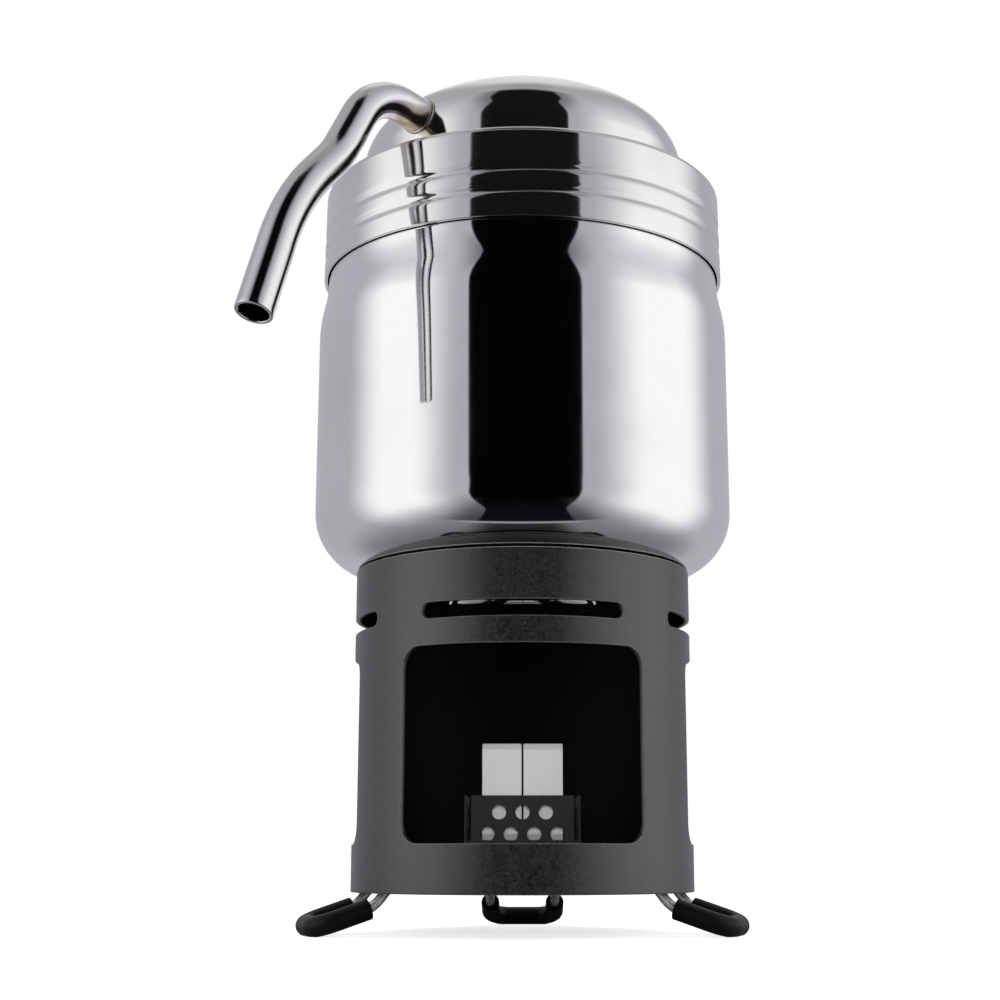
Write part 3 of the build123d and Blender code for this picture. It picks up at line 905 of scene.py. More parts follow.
def helix_distance(
    rows: np.ndarray, start: float, pitch: float, turns: float, run_out: float
) -> tuple[np.ndarray, np.ndarray]:
    """Height above the nearest turn of a right-hand helix, and how far in from the helix's ends it is.

    The helix climbs pitch * (a / 2 pi + k) above its start, for the angle a of a point and turn k.

    Args:
        rows: points of shape (rows, columns, 3).
        start: the helix's lowest height, at angle 0.
        pitch: its climb in one turn.
        turns: its number of turns.
        run_out: turns over which it fades in and out.

    Returns:
        The height above the nearest turn, and a weight from 0 to 1.
    """
    angle = np.arctan2(rows[..., 1], rows[..., 0]) % (2 * math.pi) / (2 * math.pi)
    climbed = (rows[..., 2] - start) / pitch
    turn = np.clip(np.round(climbed - angle), 0, math.ceil(turns) - 1)
    turn = np.where(angle + turn > turns, np.maximum(turn - 1, 0), turn)
    at = angle + turn
    weight = np.clip(at / run_out, 0, 1) * np.clip((turns - at) / run_out, 0, 1)
    return (climbed - at) * pitch, weight * weight * (3 - 2 * weight)


@dataclass
class Pot:
    """The boiler: drawn cup with a sump, a shoulder, a neck and a screw bead."""

    radius: float = 48.07
    wall: float = 0.8
    corner: float = 14.05
    bottom: float = 79.9803
    sump_radius: float = 18.0
    sump_depth: float = 8.9
    sump_corner: float = 4.0
    sump_blend: float = 2.0
    shoulder_rise: float = 58.7
    shoulder_height: float = 7.5
    shoulder_bend: float = 28.0
    shoulder_step: float = 1.77
    step_rise: float = 70.2
    step: float = 1.0
    step_bend: float = 0.6
    neck_rise: float = 87.1
    thread_pitch: float = 5.0
    thread_bead: float = 0.8
    thread_turns: float = 1.25
    thread_below_top: float = 12.9
    bead_reach: float = 1.1
    rim_bend: float = 0.35
    columns: int = 360

    @property
    def neck_radius(self) -> float:
        """Outer radius of the neck."""
        return self.radius - self.shoulder_step - self.step

    @property
    def neck_top(self) -> float:
        """Height of the neck's rim."""
        return self.bottom + self.neck_rise

    def section(self) -> np.ndarray:
        """The wall's closed section, from the axis under the sump, up the outside and down the inside.

        Returns:
            Points (r, z).
        """
        waist, neck, floor = self.radius - self.shoulder_step, self.neck_radius, self.bottom - self.sump_depth
        outline = [
            (self.sump_radius, floor),
            (self.sump_radius, self.bottom),
            (self.radius, self.bottom),
            (self.radius, self.bottom + self.shoulder_rise),
            (waist, self.bottom + self.shoulder_rise + self.shoulder_height),
            (waist, self.bottom + self.step_rise),
            (neck, self.bottom + self.step_rise + self.step),
            (neck, self.neck_top),
        ]
        outer_bends = [self.sump_corner, self.sump_blend, self.corner, self.shoulder_bend, self.shoulder_bend]
        outer_bends += [self.step_bend, self.step_bend, self.rim_bend]
        w = self.wall
        lift = [w, w, w, 0, 0, 0, 0, 0]
        inner = [(r - w, z + up) for (r, z), up in zip(outline, lift)][::-1]
        signs = [-w, w, -w, -w, w, 0, 0, 0]
        inner_bends = [max(self.rim_bend, bend + sign) for bend, sign in zip(outer_bends, signs)][::-1]
        corners = [(0.0, floor)] + outline + inner + [(0.0, floor + w)]
        return section_of(corners, outer_bends + inner_bends, 4.0)

    def build(self, steel: bpy.types.Material) -> None:
        """Makes the pot's wall, with the bead pressed out of the neck where the helix runs.

        The bead stands out by b cos(pi d / 2.2)^2 within 1.1 mm of the helix, d being the height above it.

        Args:
            steel: the mirror finish.
        """
        rows = revolved(resampled(self.section(), 0.9), self.columns)
        start = self.neck_top - self.thread_below_top
        above, weight = helix_distance(rows, start, self.thread_pitch, self.thread_turns, 0.05)
        outside = np.hypot(rows[..., 0], rows[..., 1]) > self.neck_radius - 0.05
        near = (np.abs(above) < self.bead_reach) & outside & (rows[..., 2] > start - self.bead_reach - 0.1)
        bead = self.thread_bead * weight * np.cos(math.pi * above / (2 * self.bead_reach)) ** 2
        out = np.where(near, bead, 0.0)
        radius = np.maximum(np.hypot(rows[..., 0], rows[..., 1]), 1e-9)
        rows[..., :2] *= (1 + out / radius)[..., None]
        fit_out(skin("pot_wall", rows, closed=False), steel, Slot.POLISHED_STEEL, Body.POT, "pot_body")


@dataclass
class Lid:
    """Collar and dome in one shell, with the rolled thread, and the spout welded into the dome."""

    wall: float = 0.9
    collar_bottom_radius: float = 47.4
    taper: float = 0.3
    top: float = 170.9803
    height: float = 20.8
    corner: float = 1.2
    ledge: float = 8.6
    dome_wall: float = 7.3
    dome_corner: float = 13.0
    dome_rise: float = 28.0
    foot_bend: float = 0.6
    rim_round: float = 0.3
    pitch: float = 5.0
    turns: float = 2.1
    thread_start: float = 152.5803
    groove_depth: float = 0.55
    groove_width: float = 0.72
    bead_radius: float = 0.8
    bead_width: float = 0.6
    columns: int = 360

    @property
    def dome_radius(self) -> float:
        """Outer radius of the dome's foot."""
        return self.collar_bottom_radius - self.taper - self.ledge

    def dome_arcs(self, inset: float) -> np.ndarray:
        """The dome's section from the axis down to its wall, moved inwards by the inset.

        A shallow cap meets a corner arc where their directions agree.

        Args:
            inset: distance inside the outer surface.

        Returns:
            Points (r, z).
        """
        inner = self.dome_radius - self.dome_corner
        rise = self.dome_rise - self.dome_wall
        cap = (inner**2 + rise**2 - self.dome_corner**2) / (2 * (rise - self.dome_corner))
        centre = self.top + self.dome_rise - cap
        lean = math.atan2(inner, self.top + self.dome_wall - centre)
        crown = arc((0.0, centre), cap - inset, 0.0, lean, 40)
        shoulder = arc((inner, self.top + self.dome_wall), self.dome_corner - inset, lean, math.pi / 2, 30)
        return np.concatenate([crown, shoulder[1:]])

    def section(self) -> np.ndarray:
        """The shell's closed section, from the dome's top down the outside and back up the inside.

        Returns:
            Points (r, z).
        """
        w, low = self.wall, self.top - self.height
        outer = [
            (self.dome_radius, self.top + self.dome_wall),
            (self.dome_radius, self.top),
            (self.collar_bottom_radius - self.taper, self.top),
            (self.collar_bottom_radius, low),
        ]
        inner = [
            (self.collar_bottom_radius - w, low),
            (self.collar_bottom_radius - self.taper - w, self.top - w),
            (self.dome_radius - w, self.top - w),
            (self.dome_radius - w, self.top + self.dome_wall),
        ]
        bends = [self.foot_bend, self.corner, self.rim_round, self.rim_round, self.rim_round, self.foot_bend + w]
        skirt = section_of(outer + inner, bends, 6.0)
        return np.concatenate([self.dome_arcs(0.0), skirt[1:-1], self.dome_arcs(w)[::-1]])

    def build(self, steel: bpy.types.Material) -> None:
        """Makes the shell, with the thread rolled in: a groove outside and its bead inside.

        The groove goes in by g exp(-(d / w)^2), d being the height above the helix; the bead inside goes in by
        b exp(-(d / 0.6)^2).

        Args:
            steel: the mirror finish.
        """
        coarse = self.section()
        fine = resampled(coarse, 0.3)
        wide = resampled(coarse, 1.2)
        past_dome, mid_wall = self.dome_radius + 2, self.collar_bottom_radius - self.taper - 0.5 * self.wall
        threaded = (fine[:, 1] < self.top - 1.0) & (fine[:, 1] > self.thread_start - 1.7)
        first, last = np.flatnonzero(threaded & (fine[:, 0] > mid_wall))[[0, -1]]
        on_collar = wide[:, 0] > past_dome
        before = wide[: np.flatnonzero(on_collar & (wide[:, 1] < fine[first, 1]))[0]]
        rest = wide[np.flatnonzero(on_collar & (wide[:, 1] < fine[last, 1]))[0] :]
        rows = revolved(np.concatenate([before, fine[first : last + 1], rest]), self.columns)
        above, weight = helix_distance(rows, self.thread_start, self.pitch, self.turns, 0.06)
        radius = np.maximum(np.hypot(rows[..., 0], rows[..., 1]), 1e-9)
        collar = (rows[..., 2] < self.top - 1.0) & (radius > past_dome)
        groove = self.groove_depth * np.exp(-((above / self.groove_width) ** 2)) * weight
        bead = self.bead_radius * np.exp(-((above / self.bead_width) ** 2)) * weight
        inwards = np.where(collar & (radius > mid_wall), groove, np.where(collar, bead, 0.0))
        rows[..., :2] *= (1 - inwards / radius)[..., None]
        fit_out(skin("lid_dome_and_collar", rows, closed=False), steel, Slot.POLISHED_STEEL, Body.LID, "lid_shell")


@dataclass
class Spout:
    """The bent tube and its weld on the dome, in one upright plane."""

    lid: Lid
    heading: float = -38.0
    radius: float = 4.0
    wall: float = 0.8
    lip: float = 0.22
    start: tuple[float, float] = (-4.5, 9.8)
    corners: tuple[tuple[float, float], ...] = ((14.5, 11.0), (25.6, -8.5), (38.5, -22.5))
    bends: tuple[float, ...] = (15.3, 25.0, 50.0)
    end: tuple[float, float] = (47.7, -49.6)
    weld_radius: float = 0.45
    weld_ripples: int = 34
    weld_lift: float = 0.15

    def route(self) -> Route:
        """The tube's centre line."""
        out, up = heading_vector(self.heading), np.array([0.0, 0.0, 1.0])
        plan = np.array([self.start, *self.corners, self.end])
        places = (self.lid.dome_radius + plan[:, :1]) * out + (self.lid.top + plan[:, 1:]) * up
        return rounded_route(places, list(self.bends), 2.0)

    def build(self, steel: bpy.types.Material, weld_steel: bpy.types.Material) -> None:
        """Makes the tube and its weld.

        Args:
            steel: the tube's finish.
            weld_steel: the weld's finish.
        """
        radii = (self.radius, self.radius - self.wall, self.lip)
        piece = tube("spout_bent_tube", self.route(), radii, 1.0, across_vector(self.heading), 64)
        fit_out(piece, steel, Slot.POLISHED_STEEL, Body.LID, "spout_tube")
        self.weld(weld_steel)

    def dome_gap(self, points: np.ndarray) -> np.ndarray:
        """Distance of points outside the dome's outer surface, negative inside it.

        Args:
            points: places about the axis.

        Returns:
            One distance for each point.
        """
        lid = self.lid
        inner = lid.dome_radius - lid.dome_corner
        radius = np.hypot(points[..., 0], points[..., 1])
        above = np.maximum(points[..., 2] - lid.top - lid.dome_wall, 0)
        return np.hypot(np.maximum(radius - inner, 0), above) - lid.dome_corner

    def weld(self, steel: bpy.types.Material) -> None:
        """Makes the weld: a rippled bead on the line where the tube meets the dome.

        The line is found by halving the stretch of each line along the tube between inside and outside the dome.
        The bead's section is a circle of radius w (1 + 0.03 cos(n a)), carried along that line.

        Args:
            steel: the weld's finish.
        """
        around = self.weld_ripples * 8
        turn = np.arange(around) * (2 * math.pi / around)
        point, tangent = self.route().at(np.array([0.0]))
        across = across_vector(self.heading)
        up = np.cross(tangent[0], across)
        ring = point[0] + self.radius * (np.cos(turn)[:, None] * across + np.sin(turn)[:, None] * up)
        low, high = np.zeros(around), np.full(around, 12.0)
        for _ in range(24):
            middle = (low + high) / 2
            inside = self.dome_gap(ring + middle[:, None] * tangent[0]) < 0
            low, high = np.where(inside, middle, low), np.where(inside, high, middle)
        seam = ring + (low[:, None] + self.weld_lift) * tangent[0]
        heading = np.roll(seam, -1, axis=0) - np.roll(seam, 1, axis=0)
        heading /= np.linalg.norm(heading, axis=1)[:, None]
        side = tangent[0] - (heading @ tangent[0])[:, None] * heading
        side /= np.linalg.norm(side, axis=1)[:, None]
        lift = np.cross(heading, side)
        small = (np.arange(14) * (2 * math.pi / 14))[:, None]
        size = self.weld_radius * (1 + 0.03 * np.cos(self.weld_ripples * turn))
        bead = np.cos(small) * side[:, None] + np.sin(small) * lift[:, None]
        rows = seam[:, None] + size[:, None, None] * bead
        fit_out(skin("spout_weld_bead", rows, closed=True), steel, Slot.SATIN_STEEL, Body.LID, "spout_weld")


@dataclass
class Legs:
    """Three folding legs: bent wire with a rubber sleeve over each foot; seam_lean is in radians."""

    headings: tuple[tuple[str, float, Body], ...] = (
        ("left", -71.0, Body.LEG_LEFT),
        ("right", 71.0, Body.LEG_RIGHT),
        ("rear", 180.0, Body.LEG_REAR),
    )
    wire: float = 1.1
    sleeve: float = 2.2
    bore_fit: float = 0.03
    half_spacing: float = 7.85
    pin_end: float = 3.4
    pivot_reach: float = 31.5
    pivot_height: float = 11.7
    knee_reach: float = 36.0
    tip_reach: float = 48.0
    tip_height: float = 2.05
    slope: float = 18.2
    foot_corner: float = 4.5
    pivot_bend: float = 2.4
    knee_bend: float = 8.0
    sleeve_start: float = 0.8
    wire_lip: float = 0.25
    sleeve_lip: float = 0.28
    seam_lean: float = 0.4

    def place(self, heading: float, points: list[tuple[float, float, float]]) -> np.ndarray:
        """Points given by reach, side and height, turned to a heading."""
        plan = np.array(points)
        out, across = heading_vector(heading), across_vector(heading)
        return plan[:, :1] * out + plan[:, 1:2] * across + plan[:, 2:] * np.array([0.0, 0.0, 1.0])

    def height_at(self, reach: float) -> float:
        """Height of the foot's run at a reach."""
        return self.tip_height + (self.tip_reach - reach) * math.tan(math.radians(self.slope))

    def wire_route(self, heading: float) -> Route:
        """The wire's centre line: pin, run, foot, run and pin."""
        half = [
            (self.pivot_reach, self.pin_end, self.pivot_height),
            (self.pivot_reach, self.half_spacing, self.pivot_height),
            (self.knee_reach, self.half_spacing, self.height_at(self.knee_reach)),
            (self.tip_reach, self.half_spacing, self.tip_height),
        ]
        points = half + [(u, -t, z) for u, t, z in reversed(half)]
        bends = [self.pivot_bend, self.knee_bend, self.foot_corner, self.foot_corner, self.knee_bend, self.pivot_bend]
        return rounded_route(self.place(heading, points), bends, 5.0)

    def sleeve_route(self, heading: float) -> Route:
        """The sleeve's centre line, along the foot."""
        reach = self.knee_reach + self.sleeve_start
        half = [(reach, self.half_spacing, self.height_at(reach)), (self.tip_reach, self.half_spacing, self.tip_height)]
        points = half + [(u, -t, z) for u, t, z in reversed(half)]
        return rounded_route(self.place(heading, points), [self.foot_corner, self.foot_corner], 5.0)

    def build(self, wire_steel: bpy.types.Material, rubber: bpy.types.Material) -> None:
        """Makes the three wires and the three sleeves.

        Args:
            wire_steel: the wires' finish.
            rubber: the sleeves' finish.
        """
        wire_radii = (self.wire, 0.0, self.wire_lip)
        sleeve_radii = (self.sleeve, self.wire + self.bore_fit, self.sleeve_lip)
        for side, heading, body in self.headings:
            upright = np.array([0.0, 0.0, math.cos(self.seam_lean)])
            seam = upright + heading_vector(heading) * math.sin(self.seam_lean)
            wire = tube(f"bent_wire_{side}", self.wire_route(heading), wire_radii, 1.0, seam, 28)
            fit_out(wire, wire_steel, Slot.WIRE, body, f"leg_wire_{side}")
            sleeve = tube(f"rubber_sleeve_{side}", self.sleeve_route(heading), sleeve_radii, 0.8, seam, 40)
            fit_out(sleeve, rubber, Slot.RUBBER, body, f"leg_sleeve_{side}")


@dataclass(frozen=True)
class Opening:
    """One punched opening of the stand's wall, as a rounded rectangle on the unrolled wall."""

    heading: float
    half_angle: float
    bottom: float
    height: float
    corner: float


@dataclass
class Stand:
    """The rolled and punched tube, drawn unrolled and then bent round the axis."""

    radius: float = 38.2
    wall: float = 1.2
    bottom: float = 8.9
    height: float = 71.3
    edge: float = 0.22
    flat_strip: float = 0.15
    openings: tuple[Opening, ...] = (
        Opening(0.0, 41.9, 19.2, 40.8, 4.5),
        Opening(90.0, 19.0, 19.2, 40.8, 4.5),
        Opening(-90.0, 19.0, 19.2, 40.8, 4.5),
        Opening(0.0, 33.9, 65.7, 3.4, 1.666),
        Opening(90.0, 33.9, 65.7, 3.4, 1.666),
        Opening(-90.0, 33.9, 65.7, 3.4, 1.666),
    )

    def outline(self, opening: Opening, grow: float) -> np.ndarray:
        """An opening's outline on the unrolled wall, moved outwards by grow, with points that match between offsets.

        Args:
            opening: the opening.
            grow: distance that the outline is moved into the wall.

        Returns:
            Points (u, z), u being the length round the wall from heading -180.
        """
        half_u = self.radius * math.radians(opening.half_angle) - opening.corner
        half_z = opening.height / 2 - opening.corner
        turn = np.linspace(0, math.pi / 2, 9)
        radius = opening.corner + grow
        corner = np.stack([radius * np.cos(turn), radius * np.sin(turn)], 1)
        along_u = np.linspace(half_u, -half_u, max(2, int(2 * half_u / 1.1)))[1:-1]
        along_z = np.linspace(half_z, -half_z, max(2, int(2 * max(half_z, 0) / 1.6)))[1:-1]
        top = np.stack([along_u, np.full(len(along_u), half_z + radius)], 1)
        left = np.stack([np.full(len(along_z), -half_u - radius), along_z], 1)
        one = np.concatenate([corner + (half_u, half_z), top, corner[::-1] * (-1, 1) + (-half_u, half_z), left])
        loop = np.concatenate([one, -one])
        centre = self.radius * math.radians(opening.heading + 180)
        return loop + (centre, opening.bottom + opening.height / 2)

    def bent(self, flat: np.ndarray, depth: np.ndarray | float) -> np.ndarray:
        """Unrolled points bent round the axis: heading u / R - 180 degrees, radius R - depth.

        Args:
            flat: points (u, z).
            depth: distance below the outer surface.

        Returns:
            Points (x, y, z).
        """
        turn = flat[:, 0] / self.radius - math.pi
        radius = self.radius - depth
        return np.stack([radius * np.sin(turn), -radius * np.cos(turn), flat[:, 1]], 1)

    def edge_rows(self) -> list[tuple[float, float]]:
        """Offsets into the wall and depths that lead over a rounded edge, through the wall and over the other edge."""
        turn = np.linspace(0, math.pi / 2, 5)
        over = [(self.edge * (1 - math.sin(a)), self.edge * (1 - math.cos(a))) for a in turn]
        flat = (self.edge + self.flat_strip, 0.0)
        back = [(grow, self.wall - depth) for grow, depth in reversed(over)]
        return [flat, *over, *back, (flat[0], self.wall)]

    def wear_and_highlight_marks(self, count: int, part: int, rows: int) -> np.ndarray:
        """A mark for the vertices on a rounded outer edge: wear at the openings and a stronger painted highlight on the
        rim that carries the pot, and 0 for all others.

        Args:
            count: number of vertices in a part of the wall.
            part: the part's place in the list; the first two are the flat faces.
            rows: number of rows that lead over an edge.

        Returns:
            One mark for each vertex.
        """
        if part < 2:
            return np.zeros(count)
        row = np.repeat(np.arange(rows), count // rows)
        rim = part == len(self.openings) + 2
        # 0.4 marks wear at the openings; 1.6 on the rim is a painted highlight.
        return ((row >= 2) & (row <= 4)) * (1.6 if rim else 0.4)

    def strip(self, loops: list[np.ndarray], closed: bool) -> tuple[np.ndarray, np.ndarray]:
        """Faces between matching lines of points.

        Args:
            loops: the lines, each of shape (n, 3).
            closed: True if each line closes on itself.

        Returns:
            Vertices and quads.
        """
        rows = np.stack(loops)
        count, around = rows.shape[:2]
        index = np.arange(count * around).reshape(count, around)
        next_one = np.roll(index, -1, axis=1)
        low, high, low_next, high_next = index[:-1], index[1:], next_one[:-1], next_one[1:]
        if not closed:
            low, high, low_next, high_next = (x[:, :-1] for x in (low, high, low_next, high_next))
        return rows.reshape(-1, 3), np.stack([low, low_next, high_next, high], -1).reshape(-1, 4)

    def build(self, coat: bpy.types.Material) -> None:
        """Makes the wall: its unrolled face filled between the outlines, twice, and a rounded strip along each edge.

        Args:
            coat: the wall's finish.
        """
        around = 2 * math.pi * self.radius
        top = self.bottom + self.height
        inset = self.edge + self.flat_strip
        u = np.linspace(0, around, 1001)
        edges = [self.outline(opening, inset) for opening in self.openings]
        low, high = np.full(len(u), self.bottom + inset), np.full(len(u), top - inset)
        side_z = np.linspace(low[0], high[0], 41)[1:-1]
        sides = [np.stack([np.full(39, 0.0), side_z], 1), np.stack([np.full(39, around), side_z], 1)]
        border = np.concatenate([np.stack([u, low], 1), sides[1], np.stack([u, high], 1)[::-1], sides[0][::-1]])
        inner_u, inner_z = np.meshgrid(np.arange(1.0, around - 0.8, 1.7), np.arange(10.6, top - 1.0, 2.0))
        grid = np.stack([inner_u.ravel(), inner_z.ravel()], 1)
        for opening in self.openings:
            grid = grid[self.clear_of(grid, opening, inset + 0.5)]
        self.finish([border, *edges], grid, u, coat)

    def clear_of(self, flat: np.ndarray, opening: Opening, margin: float) -> np.ndarray:
        """Which unrolled points lie further than a margin outside an opening.

        The distance to a rounded rectangle is |max(|p| - half + corner, 0)| - corner.

        Args:
            flat: points (u, z).
            opening: the opening.
            margin: the least distance.

        Returns:
            True for the points outside.
        """
        around = 2 * math.pi * self.radius
        centre = self.radius * math.radians(opening.heading + 180)
        away = np.abs((flat[:, 0] - centre + around / 2) % around - around / 2)
        rise = np.abs(flat[:, 1] - opening.bottom - opening.height / 2)
        half_u, half_z = self.radius * math.radians(opening.half_angle), opening.height / 2
        corner = opening.corner
        out = np.hypot(np.maximum(away - half_u + corner, 0), np.maximum(rise - half_z + corner, 0)) - corner
        inside = np.minimum(np.maximum(away - half_u, rise - half_z), 0)
        return np.maximum(out, inside) > margin

    def finish(self, loops: list[np.ndarray], grid: np.ndarray, u: np.ndarray, coat: bpy.types.Material) -> None:
        """Fills the face between the loops, adds the rounded strips and writes the piece.

        Args:
            loops: the border and the openings' outlines on the unrolled wall.
            grid: further points on it.
            u: lengths round the wall where the upper and lower edges have points.
            coat: the wall's finish.
        """
        flat = np.concatenate([*loops, grid])
        orders = [np.arange(len(loop)) for loop in loops]
        starts = np.cumsum([0] + [len(loop) for loop in loops[:-1]])
        ties = [np.stack([order, np.roll(order, -1)], 1) + start for start, order in zip(starts, orders)]
        points, _, faces, *_ = delaunay_2d_cdt(flat.tolist(), np.concatenate(ties).tolist(), [], 0, 1e-5)
        flat = np.array([tuple(point) for point in points])
        triangles = np.array([face for face in faces if len(face) == 3])
        centres = flat[triangles].mean(axis=1)
        kept = centres[:, 1] > self.bottom
        for opening in self.openings:
            kept &= self.clear_of(centres, opening, self.edge + self.flat_strip - 0.02)
        triangles = triangles[kept]
        quads = np.concatenate([triangles, triangles[:, 2:]], axis=1)
        parts = [(self.bent(flat, 0.0), quads), (self.bent(flat, self.wall), quads[:, ::-1])]
        rows = self.edge_rows()
        for opening in self.openings:
            lines = [self.bent(self.outline(opening, grow), depth) for grow, depth in rows]
            vertices, between = self.strip(lines, closed=True)
            parts.append((vertices, between[:, ::-1]))
        for edge, way in ((self.bottom + self.height, -1), (self.bottom, 1)):
            lines = [self.bent(np.stack([u, np.full(len(u), edge + way * grow)], 1), depth) for grow, depth in rows]
            vertices, between = self.strip(lines, closed=False)
            parts.append((vertices, between[:, ::way]))
        counts = np.cumsum([0] + [len(vertices) for vertices, _ in parts[:-1]])
        every = np.concatenate([vertices for vertices, _ in parts])
        joined = np.concatenate([faces + count for (_, faces), count in zip(parts, counts)])
        # The marks carry edge wear and the rim's painted highlight.
        marks = np.concatenate([self.wear_and_highlight_marks(len(vertices), k, len(rows)) for k, (vertices, _) in enumerate(parts)])
        piece = write_mesh("stand_wall", every, joined)
        piece.data.attributes.new("worn_and_highlit_edge", "FLOAT", "POINT").data.foreach_set("value", marks.astype(np.float32))
        close_seams(piece, 0.000004)
        fit_out(piece, coat, Slot.STAND_COAT, Body.STAND, "stand_shell")


def close_seams(piece: bpy.types.Object, distance: float) -> None:
    """Merges vertices that lie on each other and turns all faces outwards.

    Args:
        piece: the piece.
        distance: how near two vertices are to be one, in metres.
    """
    work = bmesh.new()
    work.from_mesh(piece.data)
    bmesh.ops.remove_doubles(work, verts=work.verts, dist=distance)
    bmesh.ops.recalc_face_normals(work, faces=work.faces)
    open_edges = sum(not edge.is_manifold for edge in work.edges)
    work.to_mesh(piece.data)
    work.free()
    piece.data.shade_smooth()
    LOG.info("%s: %d edges don't join two faces", piece.name, open_edges)


def softened_copy(source: bpy.types.Object, name: str, width: float) -> bpy.types.Object:
    """A copy of a flat-sided node with its edges rounded.

    Args:
        source: the part's node.
        name: the new piece's name.
        width: the rounding, in metres.

    Returns:
        The new piece, with a live Bevel modifier.
    """
    piece = linked(name, source.data.copy())
    work = bmesh.new()
    work.from_mesh(piece.data)
    bmesh.ops.remove_doubles(work, verts=work.verts, dist=0.000002)
    bmesh.ops.dissolve_limit(work, angle_limit=math.radians(1.0), verts=work.verts, edges=work.edges)
    work.to_mesh(piece.data)
    work.free()
    if piece.data.has_custom_normals:
        piece.data.attributes.remove(piece.data.attributes["custom_normal"])
    piece.data.shade_smooth()
    bevel = piece.modifiers.new("rounded_edges", "BEVEL")
    bevel.width = width
    bevel.segments = 3
    bevel.limit_method = "ANGLE"
    bevel.angle_limit = math.radians(25)
    bevel.harden_normals = True
    return piece


@dataclass
class Burner:
    """The folded tray and its two fuel blocks."""

    tray_round: float = 0.18
    block_round: float = 0.28

    def build(self, nodes: dict, tray_coat: bpy.types.Material, fuel: bpy.types.Material) -> None:
        """Makes the tray and the two blocks with softened edges.

        Args:
            nodes: the part's nodes by name.
            tray_coat: the tray's finish.
            fuel: the blocks' finish.
        """
        tray = softened_copy(nodes["fuel_tray"], "folded_tray", self.tray_round * MM)
        fit_out(tray, tray_coat, Slot.TRAY_COAT, Body.TRAY, "fuel_tray")
        for side, body in (("left", Body.TABLET_LEFT), ("right", Body.TABLET_RIGHT)):
            node = f"fuel_tablet_{side}"
            block = softened_copy(nodes[node], f"fuel_block_{side}", self.block_round * MM)
            fit_out(block, fuel, Slot.FUEL, body, node)


# ---------------------------------------------------------------- studio


